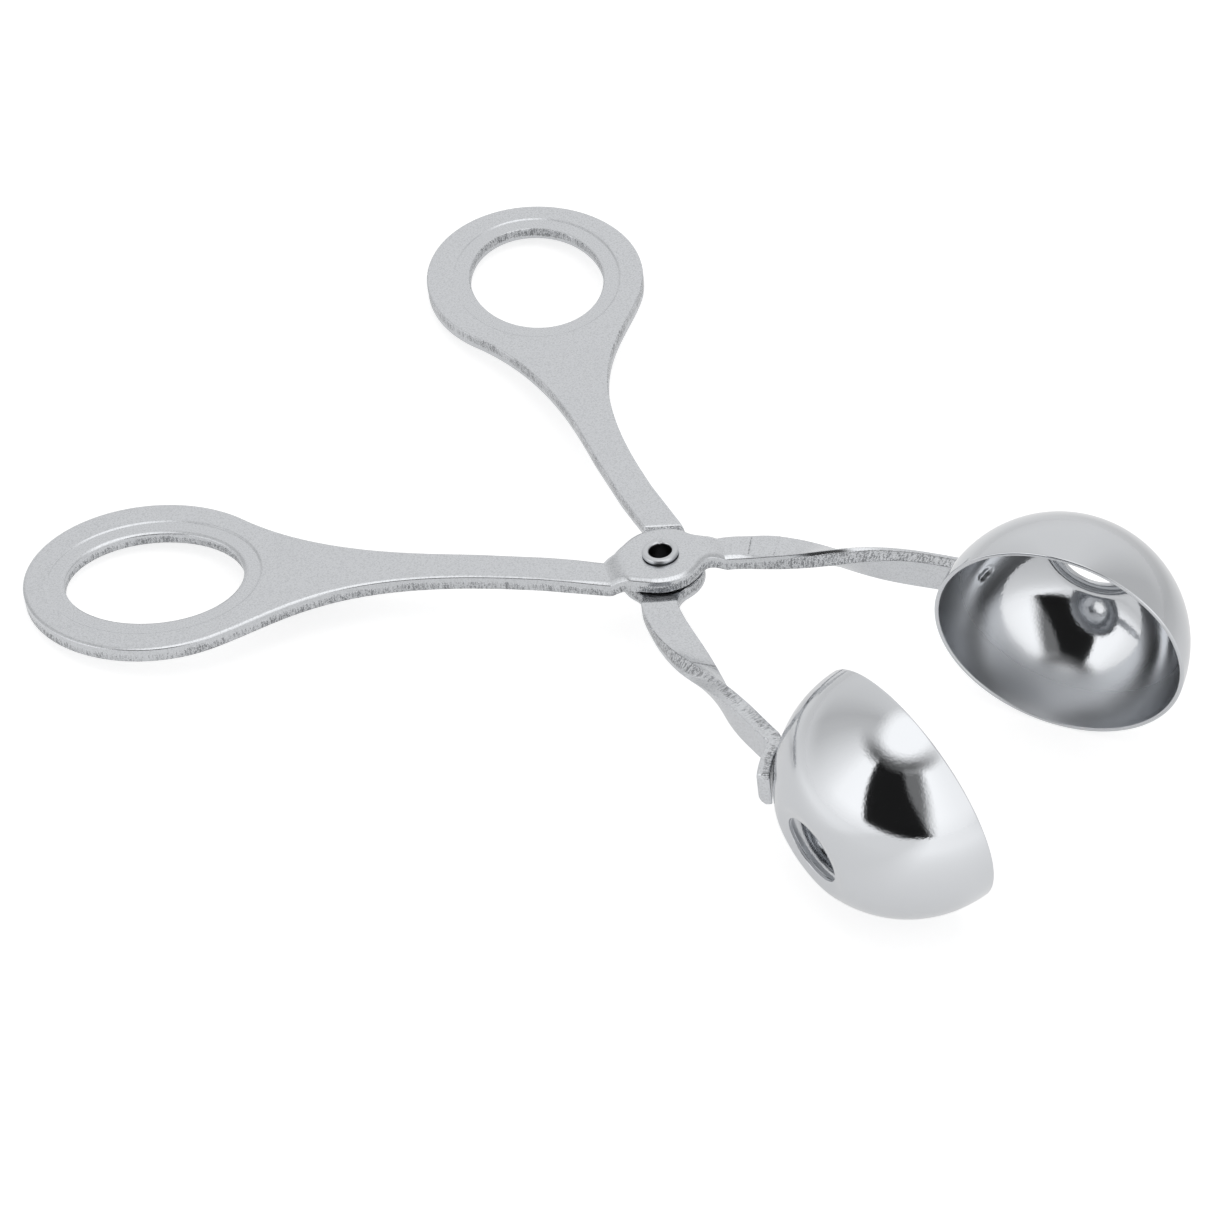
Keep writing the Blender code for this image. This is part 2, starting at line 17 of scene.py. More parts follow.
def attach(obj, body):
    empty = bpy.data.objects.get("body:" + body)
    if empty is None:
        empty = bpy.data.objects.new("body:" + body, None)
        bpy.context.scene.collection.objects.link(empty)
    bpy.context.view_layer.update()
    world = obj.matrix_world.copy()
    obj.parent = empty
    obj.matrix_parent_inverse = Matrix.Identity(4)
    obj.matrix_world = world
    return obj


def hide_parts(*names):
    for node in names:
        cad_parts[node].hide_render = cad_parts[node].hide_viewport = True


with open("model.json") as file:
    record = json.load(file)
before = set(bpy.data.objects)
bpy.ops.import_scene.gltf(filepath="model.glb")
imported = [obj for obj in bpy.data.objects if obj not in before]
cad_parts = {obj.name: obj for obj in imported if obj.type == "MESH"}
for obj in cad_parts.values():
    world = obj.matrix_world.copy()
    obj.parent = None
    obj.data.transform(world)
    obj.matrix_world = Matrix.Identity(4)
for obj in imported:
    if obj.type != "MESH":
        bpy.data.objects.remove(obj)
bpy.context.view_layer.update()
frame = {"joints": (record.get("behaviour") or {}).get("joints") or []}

bl_info = {
    "name": "Meatball Tongs",
    "version": (1, 0, 0),
    "blender": (4, 5, 0),
    "location": "3D View > Sidebar > Tongs",
    "description": "Builds plated scissor tongs with half-ball bowls, and the studio they are seen in",
    "category": "Add Mesh",
}

PIVOT_JOINT = next(joint for joint in frame["joints"] if joint["name"] == "pivot")
MM = 0.001

# The strip that both arms are pressed from: one face has rolled edges, the other sheared ones
STOCK = 0.0030
STRIP_WIDTH = 0.0063
RUNNING_GAP = 0.0003

# Finger loop: an oval hole with a coined border, in a slightly rounder outline
HOLE_CENTRE_BACK = 0.0891
HOLE_CENTRE_OUT = 0.0304
HOLE_HALF_LENGTH = 0.01686
HOLE_HALF_WIDTH = 0.01283
HOLE_TURN = math.radians(16.3)
LOOP_CENTRE_BACK = 0.0896
LOOP_CENTRE_OUT = 0.0303
LOOP_HALF_LENGTH = 0.02434
LOOP_HALF_WIDTH = 0.02087
LOOP_TURN = math.radians(9.9)
COIN_WIDTH = 0.0030
COIN_SLOPE = 0.0005

# Where the outline leaves the loop's oval, and how it runs into the strip's straight edges
UPPER_LEAVE = math.radians(60)
LOWER_LEAVE = math.radians(312.3)
UPPER_REACH_SHARES = (0.185, 0.43)
LOWER_REACH_SHARES = (0.246, 0.628)
UPPER_STRAIGHT = 0.0124
LOWER_STRAIGHT = 0.0040

# Handle strip, where it leaves the loop's plate for the eye
HANDLE_END_BACK = 0.0200
HANDLE_END_OUT = 0.00785
HANDLE_HEADING = math.radians(12.4)

# Pivot eye, lifted out of the strip's plane by a joggle on each side, which starts inside the eye's rim.
# Towards the handle its two sides taper into the strip, on the inner side close to the eye.
EYE_RADIUS = 0.00775
EYE_FILLET = 0.0040
INNER_TAPER = 0.0002
OUTER_TAPER = 0.00235
EYE_HEADING = math.radians(36)
HANDLE_JOGGLE = 0.00235
NECK_JOGGLE = 0.00345
JOGGLE_START = 0.0010

# Neck, from the eye to the bowl: bowed outwards, then turned on edge
NECK_WIDTH = 0.0066
NECK_TIP_WIDTH = 0.0060
NECK_OFFSET = 0.0128
NECK_LEAD_IN = 0.0060
NECK_LEAD_OUT = 0.0130
NECK_TWIST = math.radians(90)
TWIST_START_SHARE = 0.13
TWIST_END_SHARE = 0.86
BEND_RADIUS = 0.0008
TAB_LENGTH = 0.0095
TAB_STOCK = 0.0024
TAB_CHAMFER = 0.0011
TAB_CORNER = 0.0003

# Half-ball bowl, cut just past its widest so that the two rims meet, with a dished drain hole
BOWL_INNER_RADIUS = 0.02225
BOWL_WALL = 0.0008
RIM_LEAD = 0.0005
BOWL_REACH = 0.0759
BOWL_CANT = math.radians(8.3)
DISH_RADIUS = 0.0093
DISH_DEPTH = 0.0004
DISH_FILLET = 0.0010
DRAIN_RADIUS = 0.0064

# Tubular rivet: solid oval head below, hollow end rolled out above
RIVET_RADIUS = 0.0027
RIVET_BORE_RADIUS = 0.0021
RIVET_BORE_DEPTH = 0.0052
RIVET_BORE_POINT = 0.0008
RIVET_HEAD_RADIUS = 0.0042
RIVET_HEAD_HEIGHT = 0.0011
RIVET_HEAD_EDGE = 0.0003
ROLL_RADIUS = 0.00337
ROLL_HEIGHT = 0.00065

# How far each arm is turned from shut in the frame
HALF_OPENING = math.radians(16.55)

# Small roundings, and the strip of flat beside each rounding that keeps the flat's shading flat.
# The edge that the punch met first rolls over at a shallow angle, and then turns tightly into the wall.
# Its roll is wider than plain at the eye, and narrower on the twisted neck.
SUPPORT = 0.0002
ROLL_END = math.radians(30)
ROLL_POWER = 0.45
ROLL_TURN_RADIUS = 0.0002
EYE_ROLL_SHARE = 1.9
EYE_ROLL_SPAN = (0.4, 1)
TWIST_ROLL_SHARE = 0.25
TWIST_ROLL_SPAN = (0.08, 0.22)
CREASE_ROUNDING = 0.0007
HOLE_EDGE_RADIUS = 0.0004
HOLE_ROLL_WIDTH = 0.0007
BORE_EDGE_RADIUS = 0.0002
DRAIN_EDGE_RADIUS = 0.00015
TAB_END_RADIUS = 0.00015

# Share of the eye's radius within which its faces are filled round the bore in one piece
FLAT_EYE_SHARE = 0.75

# Creases across the neck where the press held it: reach from the neck's foot, and depth
TOP_CREASES = ((0.0053, 0.00005), (0.0102, 0.00005))
BOTTOM_CREASES = ((0.0199, 0.00012),)
CREASE_HALF_WIDTH = 0.00022
# Depth at which a crease's floor turns fully dull: rougher, and darkened by painted shade in its pits
CREASE_DULL_AND_SHADE_DEPTH = 0.0001

# Nick across the tab where its chamfer starts
TAB_NICK = 0.00016
TAB_NICK_HALF_WIDTH = 0.00016

# Tearing of the sheared walls, from 0, none, to 1, all over: torn metal is rougher and bumpy, and painted
# shade darkens its pits. It is full from a share of the way down the wall, and its strength changes along
# the neck over spans that are shares of the neck's length.
# The slopes of the joggles are strained dull between shares of their length, which also darkens them with
# painted shade in their pits.
TEAR_END_SHARE = 0.6
WALL_WEAR = 0.55
INNER_WEAR = 1.4
INNER_WEAR_SPAN = (0.2, 0.42)
OUTER_WEAR = 0.38
OUTER_WEAR_RISE = (0.1, 0.25)
OUTER_WEAR_FALL = (0.42, 0.6)
TAB_WEAR = 0.5
# Extra tearing in the nick across the tab, which darkens it with painted shade in its pits
TAB_NICK_WEAR_AND_SHADE = 1.2
STRAIN_AND_SHADE = 0.8
STRAIN_AND_SHADE_RISE = (0.2, 0.5)
STRAIN_AND_SHADE_FALL = (0.97, 1)

# Angles from the bowl's pole between which its inner skin turns dull, and the spot weld's mark: its
# shift from the start of the tab, its turn, and the reaches of its floor, its edge and its raised rim
DULL_SPAN = (math.radians(50), math.radians(75))
WELD_SHIFT = (-0.00102, -0.00093)
WELD_TURN = math.radians(73)
WELD_EDGE_SPAN = (0.75, 1.05)
WELD_RIM_SHARE = 0.5
WELD_RIM_REACH = 1.15
WELD_RIM_HALF_WIDTH = 0.18

# Rivet's rolled end: how square its crown is, and the nick that the punch left in it
ROLL_SIDE_POWER = 0.75
ROLL_CROWN_POWER = 0.55
NICK_BEARING = math.radians(130)
NICK_HALF_ANGLE = math.radians(5)
NICK_DEPTH = 0.00018

# Widths of the patterns on the metal, in millimetres. The satin speckle, the tear marks and the peel are
# finer than this on real plating, and are drawn as coarse as they need to be to show. Streaks are
# speckles drawn out down the wall, the way the punch went.
SPECKLE = 0.16
TEAR_GRAIN = 0.17
CLOUD = 3.5
DOWN_WALL = (1, 1, 0.25)
BOWL_PEEL = 0.25
BOWL_WAVE = 5.0
RIVET_SPECKLE = 0.15

# Share of a cell of the noise that one spot fills
SPOT_SHARE = 0.5

# Heights of their relief
SPECKLE_DEPTH = 0.006 * MM
TEAR_DEPTH = 0.32 * MM
PEEL_DEPTH = 0.008 * MM
WAVE_DEPTH = 0.05 * MM
RIVET_SPECKLE_DEPTH = 0.012 * MM

# How the patterns mix on the strip: the share of streaks among clouds and tear marks, and the spans of
# the pattern over which metal turns torn, painted shade darkens the pits, and the satin face turns darker
# and rougher
STREAK_SHARE = 0.6
TORN_SPAN = (1.12, 1.55)
PIT_SHADE_SPAN = (0.95, 1.15)
MOTTLE_SPAN = (0.40, 0.75)
MOTTLE = 0.3
CLOUD_SPAN = (0.3, 0.7)
CLOUD_ROUGHNESS = (-0.03, 0.05)

# Roughnesses beside those that a user sets; burnishing takes some of the satin's away
TORN_ROUGHNESS = 0.17
BURNISH = 0.10
DULL_BOWL_ROUGHNESS = 0.29
RIVET_ROUGHNESS = 0.3

# Glow of the floor, its share of plain daylight, and the distances between which it takes on the light
# of the wall behind it
FLOOR_GLOW = 0.70
FLOOR_MIRROR_LOSS = 0.27
FLOOR_DAYLIGHT = 0.50
FLOOR_PLAIN_SHARE = 0.5
FLOOR_FADE = (0.06, 0.24)

# Directions in the light tent, in degrees: bearings run from the middle of the camera's opening
# towards larger azimuths, and elevations run up from the floor. Wall shares are of the tent's strength,
# and floor shares of twice white.
OPENING_AZIMUTH = 158
WALL_STOPS = (
    (-180, 0.60), (-165, 0.57), (-140, 0.43), (-118, 0.43), (-100, 0.55), (-78, 0.85), (-60, 0.88),
    (-34, 0.99), (34, 0.96), (50, 0.93), (66, 0.75), (82, 0.61), (98, 0.48), (112, 0.43), (130, 0.54),
    (150, 0.60), (180, 0.60),
)
FLOOR_STOPS = (
    (-180, 0.47), (-130, 0.37), (-100, 0.42), (-76, 0.58), (-60, 0.66), (-36, 0.70), (-24, 0.54), (4, 0.54),
    (16, 0.61), (30, 0.63), (45, 0.63), (60, 0.61), (82, 0.53), (112, 0.46), (135, 0.44), (160, 0.45),
    (180, 0.47),
)
WALL_FOOT = (-3, 16)
ROOF_EDGE = (60, 76)
ROOF_SHARE = 0.95

# The tent's dark shapes: the share of light that each takes, and the soft edges that bound it. An edge
# is drawn on a sum of bearing and elevation, with a share of each, from the angle where the shape is
# nothing to the angle where it is full.
DARK_BAND = (0.86, ((0.045, 1, 51, 60), (0.045, 1, 74, 61), (1, 0, -108, -16), (1, 0, 105, 45)))
DARK_FLAP = (0.85, ((1, 0, -41, -26), (1, -0.33, 21, 15), (-0.2, 1, 0, 6), (0, 1, 62, 53)))
DARK_OPENING = (0.93, ((1, -0.5, -38, -31), (1, -0.33, 21, 15), (-0.2, 1, 0, 6), (0, 1, 62, 53)))

# Width of the camera's sensor, in millimetres
SENSOR_WIDTH = 36

# Fineness of the curved surfaces, and the angle from which an edge shows as sharp
EDGE_STEPS = 6
WALL_STEPS = 6
COIN_STEPS = 6
OVAL_STEPS = 180
LOOP_STEPS = 130
FLARE_STEPS = 44
APPROACH_STEPS = 48
EYE_STEPS = 44
NECK_STEPS = 400
BEND_STEPS = 10
TAB_STEPS = 60
STRIP_CUTS = 4
BORE_STEPS = 72
BOWL_STEPS = 256
BOWL_ARC_STEPS = 96
DISH_STEPS = 8
LIP_STEPS = 5
RIVET_STEPS = 96
RIVET_ARC_STEPS = 14
SHARP_ANGLE = math.radians(35)

# Sizes that follow from those above
EYE_LIFT = (STOCK + RUNNING_GAP) / 2
EYE_TOP = EYE_LIFT + STOCK / 2
HANDLE_FOOT = EYE_RADIUS + HANDLE_JOGGLE
NECK_FOOT = EYE_RADIUS + NECK_JOGGLE
PIVOT_HOLE_RADIUS = RIVET_RADIUS + RUNNING_GAP
BOWL_RADIUS = BOWL_INNER_RADIUS + BOWL_WALL
TAB_PATH_RADIUS = BOWL_RADIUS + RUNNING_GAP + STOCK / 2
BEND_PATH_RADIUS = BEND_RADIUS + STOCK / 2


def linear(hex_colour):
    """Linear red, green and blue of an sRGB hex colour."""
    values = []
    for start in (1, 3, 5):
        level = int(hex_colour[start:start + 2], 16) / 255
        values.append(level / 12.92 if level <= 0.04045 else ((level + 0.055) / 1.055) ** 2.4)
    return tuple(values)


class ArmDetail(bpy.types.PropertyGroup):
    """Edges and marks that pressing leaves on an arm."""

    rolled_edge: FloatProperty(
        name="Rolled Edge", description="Width of the roll along the face that the punch met first",
        default=0.0006, min=0.0002, max=0.0011, unit="LENGTH", precision=5,
    )
    sheared_edge: FloatProperty(
        name="Sheared Edge Radius", description="Radius left on the edges of the other face by tumbling",
        default=0.0003, min=0.0001, max=0.0008, unit="LENGTH", precision=5,
    )
    coin_depth: FloatProperty(
        name="Coin Depth", description="How far the border of the finger hole is pressed down",
        default=0.00022, min=0, max=0.001, unit="LENGTH", precision=5,
    )


class BowlDetail(bpy.types.PropertyGroup):
    """Lip and weld mark of a bowl."""

    rim_radius: FloatProperty(
        name="Rim Rounding", description="Radius of the two edges of the lip",
        default=0.0002, min=0.00005, max=0.0004, unit="LENGTH", precision=5,
    )
    weld_length: FloatProperty(
        name="Weld Mark Length", description="Length of the mark that the spot weld leaves inside",
        default=0.0030, min=0, max=0.006, unit="LENGTH", precision=5,
    )
    weld_width: FloatProperty(
        name="Weld Mark Width", description="Width of the weld mark",
        default=0.0014, min=0.0002, max=0.006, unit="LENGTH", precision=5,
    )
    weld_depth: FloatProperty(
        name="Weld Mark Depth", description="Depth of the weld mark",
        default=0.00008, min=0, max=0.0005, unit="LENGTH", precision=5,
    )


class Finish(bpy.types.PropertyGroup):
    """Colours and polish of the plated metals."""

    strip_colour: FloatVectorProperty(
        name="Strip", description="Reflected colour of the plated strip",
        default=linear("#D3D5D8"), min=0, max=1, subtype="COLOR",
    )
    # Darker tone for the faces' random mottle, and painted shade in the pits of torn metal
    mottle_and_pit_shade_colour: FloatVectorProperty(
        name="Sheared Edge", description="Reflected colour where the plating lies thin on torn metal",
        default=linear("#929497"), min=0, max=1, subtype="COLOR",
    )
    bowl_colour: FloatVectorProperty(
        name="Bowl", description="Reflected colour of the mirror plating",
        default=linear("#D1D3D6"), min=0, max=1, subtype="COLOR",
    )
    rivet_colour: FloatVectorProperty(
        name="Rivet", description="Reflected colour of the drawn rivet",
        default=linear("#CCCED1"), min=0, max=1, subtype="COLOR",
    )
    # Painted shade inside the rivet's bore
    bore_painted_shade: FloatVectorProperty(
        name="Rivet Bore", description="Reflected colour of the grease left in the rivet's bore",
        default=linear("#6A6A6C"), min=0, max=1, subtype="COLOR",
    )
    strip_roughness: FloatProperty(
        name="Strip Roughness", description="Roughness of the tumbled faces",
        default=0.24, min=0, max=1, subtype="FACTOR",
    )
    bowl_roughness: FloatProperty(
        name="Bowl Roughness", description="Roughness of the mirror plating",
        default=0.072, min=0, max=1, subtype="FACTOR",
    )


class Studio(bpy.types.PropertyGroup):
    """Camera, floor and light tent."""

    azimuth: FloatProperty(
        name="Azimuth", description="Camera's direction round the tongs, from -Y towards +X",
        default=math.radians(40.10), subtype="ANGLE",
    )
    elevation: FloatProperty(
        name="Elevation", description="Camera's height above the floor's plane",
        default=math.radians(44.63), subtype="ANGLE",
    )
    roll: FloatProperty(
        name="Roll", description="Camera's turn about its own line of sight",
        default=math.radians(-0.66), subtype="ANGLE",
    )
    distance: FloatProperty(
        name="Distance", description="From the aim point to the camera",
        default=0.84688, min=0.1, unit="LENGTH",
    )
    aim: FloatVectorProperty(
        name="Aim", description="Point in the middle of the picture",
        default=(0.0018, -0.01429, 0.01405), subtype="TRANSLATION", unit="LENGTH",
    )
    lens: FloatProperty(
        name="Lens", description="Focal length on the camera's 36 mm sensor",
        default=139.31, min=10, subtype="DISTANCE_CAMERA",
    )
    floor_size: FloatProperty(
        name="Floor Size", description="Side of the square floor",
        default=8.0, min=1, unit="LENGTH",
    )
    floor_colour: FloatVectorProperty(
        name="Floor", description="Colour of the paper floor",
        default=linear("#C0C0C0"), min=0, max=1, subtype="COLOR",
    )
    tent_strength: FloatProperty(
        name="Tent Strength", description="Brightness of the tent's brightest wall, where 1 is white",
        default=1.5, min=0,
    )


def clamp_share(value, low, high):
    """Share of the way from low to high, held between 0 and 1."""
    return min(max((value - low) / (high - low), 0), 1)


def blend(low, high, value):
    """Smooth step from 0 at low to 1 at high."""
    share = clamp_share(value, low, high)
    return share * share * (3 - 2 * share)


def heading_vector(angle):
    """Direction in the arm's plane, by its angle from +X."""
    return Vector((math.cos(angle), math.sin(angle)))


def left_of(direction):
    """Direction a quarter turn to the left."""
    return Vector((-direction.y, direction.x))


def bezier(start, start_handle, end_handle, end, steps):
    """Points along one cubic curve, both ends included."""
    points = []
    for index in range(steps + 1):
        t = index / steps
        s = 1 - t
        points.append(
            start * s ** 3
            + start_handle * 3 * s * s * t
            + end_handle * 3 * s * t * t
            + end * t ** 3
        )
    return points


def curve_between(start, start_direction, end, end_direction, reach_shares, steps):
    """A cubic curve whose handles are shares of the distance between its ends."""
    span = (end - start).length
    start_handle = start + start_direction * span * reach_shares[0]
    end_handle = end - end_direction * span * reach_shares[1]
    return bezier(start, start_handle, end_handle, end, steps)


def round_edge(radius):
    """Inset and drop along a quarter round, from the face to the wall."""
    points = []
    for index in range(EDGE_STEPS + 1):
        angle = math.pi / 2 * index / EDGE_STEPS
        points.append((radius * (1 - math.sin(angle)), radius * (1 - math.cos(angle))))
    return points


def rolled_edge(width):
    """Inset and drop along an edge that rolls over at a shallow angle and then turns tightly."""
    run = (width - ROLL_TURN_RADIUS * (1 - math.sin(ROLL_END))) / EDGE_STEPS
    drop = 0
    points = [(width, 0)]
    for index in range(1, EDGE_STEPS + 1):
        drop += run * math.tan(ROLL_END * ((index - 0.5) / EDGE_STEPS) ** ROLL_POWER)
        points.append((width - run * index, drop))
    for index in range(1, EDGE_STEPS + 1):
        angle = ROLL_END + (math.pi / 2 - ROLL_END) * index / EDGE_STEPS
        turn = ROLL_TURN_RADIUS * (math.cos(ROLL_END) - math.cos(angle))
        points.append((ROLL_TURN_RADIUS * (1 - math.sin(angle)), drop + turn))
    return points


def edge_column(thickness, top, bottom):
    """Inset, height and dullness down one edge: flat, rounding, wall, rounding, flat."""
    column = [(top[0][0] + SUPPORT, thickness / 2, 0)]
    column += [
        (inset, thickness / 2 - drop, -1 if 0 < index < EDGE_STEPS else 0)
        for index, (inset, drop) in enumerate(top)
    ]
    wall_top = thickness / 2 - top[-1][1]
    wall_bottom = bottom[-1][1] - thickness / 2
    for index in range(1, WALL_STEPS):
        share = index / WALL_STEPS
        column.append((0, wall_top + (wall_bottom - wall_top) * share, blend(0, TEAR_END_SHARE, share)))
    radius = bottom[0][0]
    column += [(inset, drop - thickness / 2, 1 - inset / radius) for inset, drop in reversed(bottom)]
    column.append((radius + SUPPORT, -thickness / 2, 0))
    return column


class Skin:
    """A mesh in the making, whose points carry their place on the flat strip and their dullness.

    Dullness runs from -1, burnished, through 0, the plain face, to 1, torn or dull metal; on the rivet, 1
    marks the bore for painted shade.
    """

    def __init__(self):
        self.shape = bmesh.new()
        self.strip = self.shape.verts.layers.float_vector.new("strip")
        self.dull = self.shape.verts.layers.float.new("dull")

    def point(self, place, strip_place=None, dull=0):
        vertex = self.shape.verts.new(place)
        vertex[self.strip] = Vector(place) if strip_place is None else strip_place
        vertex[self.dull] = dull
        return vertex

    def bridge(self, first, second, closed=True, skip=()):
        """Quads between two rows of points of the same length."""
        count = len(first)
        for index in range(count if closed else count - 1):
            if index in skip:
                continue
            following = (index + 1) % count
            self.shape.faces.new((first[index], first[following], second[following], second[index]))

    def bridge_all(self, rows, closed=True):
        """Quads between each row of points and the next."""
        for first, second in zip(rows, rows[1:]):
            self.bridge(first, second, closed)

    def fill_with_hole(self, outer, inner):
        """Flat face between an outer loop of points and a hole."""
        edges = []
        for loop in (outer, inner):
            for index, vertex in enumerate(loop):
                following = loop[(index + 1) % len(loop)]
                edge = self.shape.edges.get((vertex, following))
                edges.append(edge or self.shape.edges.new((vertex, following)))
        bmesh.ops.triangle_fill(self.shape, use_beauty=True, edges=edges)

    def finish(self, name):
        """Turn it into a mesh with smooth curved faces."""
        bmesh.ops.recalc_face_normals(self.shape, faces=self.shape.faces)
        mesh = bpy.data.meshes.new(name)
        self.shape.to_mesh(mesh)
        self.shape.free()
        mesh.shade_smooth()
        mesh.set_sharp_from_angle(angle=SHARP_ANGLE)
        return mesh


class Oval:
    """An ellipse in the arm's plane."""

    def __init__(self, back, out, half_length, half_width, turn):
        self.centre = Vector((-back, -out))
        self.half_length = half_length
        self.half_width = half_width
        self.along = heading_vector(turn)
        self.across = left_of(self.along)

    def point(self, angle, growth=0):
        """Point at an angle, with the oval grown outwards all round."""
        return (
            self.centre
            + self.along * (self.half_length + growth) * math.cos(angle)
            + self.across * (self.half_width + growth) * math.sin(angle)
        )

    def direction(self, angle):
        """Direction of travel at an angle, counter-clockwise."""
        travel = (
            self.across * self.half_width * math.cos(angle)
            - self.along * self.half_length * math.sin(angle)
        )
        return travel.normalized()


FINGER_HOLE = Oval(HOLE_CENTRE_BACK, HOLE_CENTRE_OUT, HOLE_HALF_LENGTH, HOLE_HALF_WIDTH, HOLE_TURN)
LOOP_OUTLINE = Oval(LOOP_CENTRE_BACK, LOOP_CENTRE_OUT, LOOP_HALF_LENGTH, LOOP_HALF_WIDTH, LOOP_TURN)


def handle_end():
    """Where the strip leaves the loop's plate."""
    return Vector((-HANDLE_END_BACK, -HANDLE_END_OUT))


def handle_outline():
    """The plate's outer edge, from the strip's left side round the loop to its right side."""
    heading = heading_vector(HANDLE_HEADING)
    side = left_of(heading) * STRIP_WIDTH / 2
    upper_start = handle_end() + side
    lower_start = handle_end() - side
    upper = curve_between(
        upper_start - heading * UPPER_STRAIGHT, -heading,
        LOOP_OUTLINE.point(UPPER_LEAVE), LOOP_OUTLINE.direction(UPPER_LEAVE),
        UPPER_REACH_SHARES, FLARE_STEPS,
    )
    loop = [
        LOOP_OUTLINE.point(UPPER_LEAVE + (LOWER_LEAVE - UPPER_LEAVE) * index / LOOP_STEPS)
        for index in range(1, LOOP_STEPS)
    ]
    lower = curve_between(
        LOOP_OUTLINE.point(LOWER_LEAVE), LOOP_OUTLINE.direction(LOWER_LEAVE),
        lower_start - heading * LOWER_STRAIGHT, heading,
        LOWER_REACH_SHARES, FLARE_STEPS,
    )
    return [upper_start] + upper + loop + lower + [lower_start]


def outline_normals(points):
    """Outward direction at each point of a counter-clockwise open outline."""
    normals = []
    last = len(points) - 1
    for index in range(len(points)):
        travel = points[min(index + 1, last)] - points[max(index - 1, 0)]
        normals.append(-left_of(travel).normalized())
    return normals


def eye_half_width(distance, strip_half):
    """Half width where the round eye runs through a fillet into a straight strip."""
    fillet_distance = math.sqrt(
        (EYE_RADIUS + EYE_FILLET) ** 2 - (strip_half + EYE_FILLET) ** 2
    )
    tangent_distance = fillet_distance * EYE_RADIUS / (EYE_RADIUS + EYE_FILLET)
    if distance <= tangent_distance:
        return math.sqrt(EYE_RADIUS ** 2 - distance ** 2)
    if distance < fillet_distance:
        return strip_half + EYE_FILLET - math.sqrt(
            EYE_FILLET ** 2 - (fillet_distance - distance) ** 2
        )
    return strip_half


def taper_half_width(distance, strip_half, taper):
    """Half width on one side, where the round eye tapers straight down into the strip."""
    corner = EYE_RADIUS + taper
    touch = math.atan2(strip_half, corner) + math.acos(EYE_RADIUS / math.hypot(corner, strip_half))
    if distance <= EYE_RADIUS * math.cos(touch):
        return math.sqrt(EYE_RADIUS ** 2 - distance ** 2)
    if distance < corner:
        return (EYE_RADIUS - distance * math.cos(touch)) / math.sin(touch)
    return strip_half


def joggle_height(distance, length):
    """Height of the strip above its own plane: creased at the joggle's foot, rounded into the eye."""
    left = clamp_share(distance, EYE_RADIUS - JOGGLE_START, EYE_RADIUS + length)
    return EYE_LIFT * (1 - left * left)


def joggle_rounding(distance, length):
    """How far the lower face is rounded off where it bends outwards at the joggle's foot."""
    foot = EYE_RADIUS + length
    slope = 2 * EYE_LIFT / (length + JOGGLE_START)
    share = clamp_share(foot - distance, -CREASE_ROUNDING, CREASE_ROUNDING)
    if share in (0, 1):
        return 0
    return max(slope * CREASE_ROUNDING * share * share - joggle_height(distance, length), 0)


def joggle_strain_and_shade(distance, length):
    """Share of roughened metal on the slope of a joggle, with painted shade in its pits."""
    left = clamp_share(distance, EYE_RADIUS - JOGGLE_START, EYE_RADIUS + length)
    return STRAIN_AND_SHADE * blend(*STRAIN_AND_SHADE_RISE, left) * (1 - blend(*STRAIN_AND_SHADE_FALL, left))


class Station:
    """One cross-section of the arm: its middle, its axes, its half width and its thickness.

    A section thinner than the strip is pressed in from its top face. The flat place and flat side say
    where the section lay on the strip before the neck was twisted and bent. The wear is that of the
    left and the right wall.
    """

    def __init__(self, middle, across, upward, half, flat_place, flat_side, thickness=STOCK, trim=0):
        self.middle = middle + upward * (thickness - STOCK) / 2
        self.across = across
        self.upward = upward
        self.half = half - trim
        self.thickness = thickness - 2 * trim
        self.flat_place = flat_place
        self.flat_side = flat_side
        self.roll_share = 1
        self.wear = (WALL_WEAR, WALL_WEAR)
        self.strain_and_shade = 0
        self.top_groove = 0
        self.bottom_groove = 0

    def section(self, edges):
        """Places round the section: left edge going down, bottom face, right edge going up, top face."""
        top = rolled_edge(edges.rolled_edge * self.roll_share)
        bottom = round_edge(edges.sheared_edge)
        column = edge_column(self.thickness, top, bottom)
        outline = [(self.half - inset, height, dull) for inset, height, dull in column]
        outline += self.face_cuts(bottom[0][0] + SUPPORT, 1, -self.thickness / 2)
        outline += [(inset - self.half, height, dull) for inset, height, dull in reversed(column)]
        outline += self.face_cuts(top[0][0] + SUPPORT, -1, self.thickness / 2)
        return outline

    def face_cuts(self, inset, side, height):
        """Places that divide one flat face, taken from the given side."""
        reach = side * (self.half - inset)
        return [
            (reach * (1 - 2 * index / (STRIP_CUTS + 1)), height, 0)
            for index in range(1, STRIP_CUTS + 1)
        ]

    def ring(self, skin, edges):
        """The section's points in a mesh."""
        points = []
        for x, z, dull in self.section(edges):
            strip_place = self.flat_place + self.flat_side * x + Vector((0, 0, z))
            if dull > 0:
                dull *= self.wear[0 if x > 0 else 1]
            # Creases and the joggles' lower slopes turn dull, which also paints shade into their pits
            if z == self.thickness / 2:
                z -= self.top_groove
                dull = self.top_groove / CREASE_DULL_AND_SHADE_DEPTH
            if z == -self.thickness / 2:
                z += self.bottom_groove
                dull = max(self.bottom_groove / CREASE_DULL_AND_SHADE_DEPTH, self.strain_and_shade)
            place = self.middle + self.across * x + self.upward * z
            points.append(skin.point(place, strip_place, dull))
        return points


def level_station(point, heading, half, lift=0, rounding=0):
    """A station of the flat part of the arm, whose lower face may be rounded off."""
    side = left_of(heading)
    place = Vector((point.x, point.y, lift + rounding))
    across = Vector((side.x, side.y, 0))
    return Station(place, across, Vector((0, 0, 1)), half, place, across, STOCK - rounding)


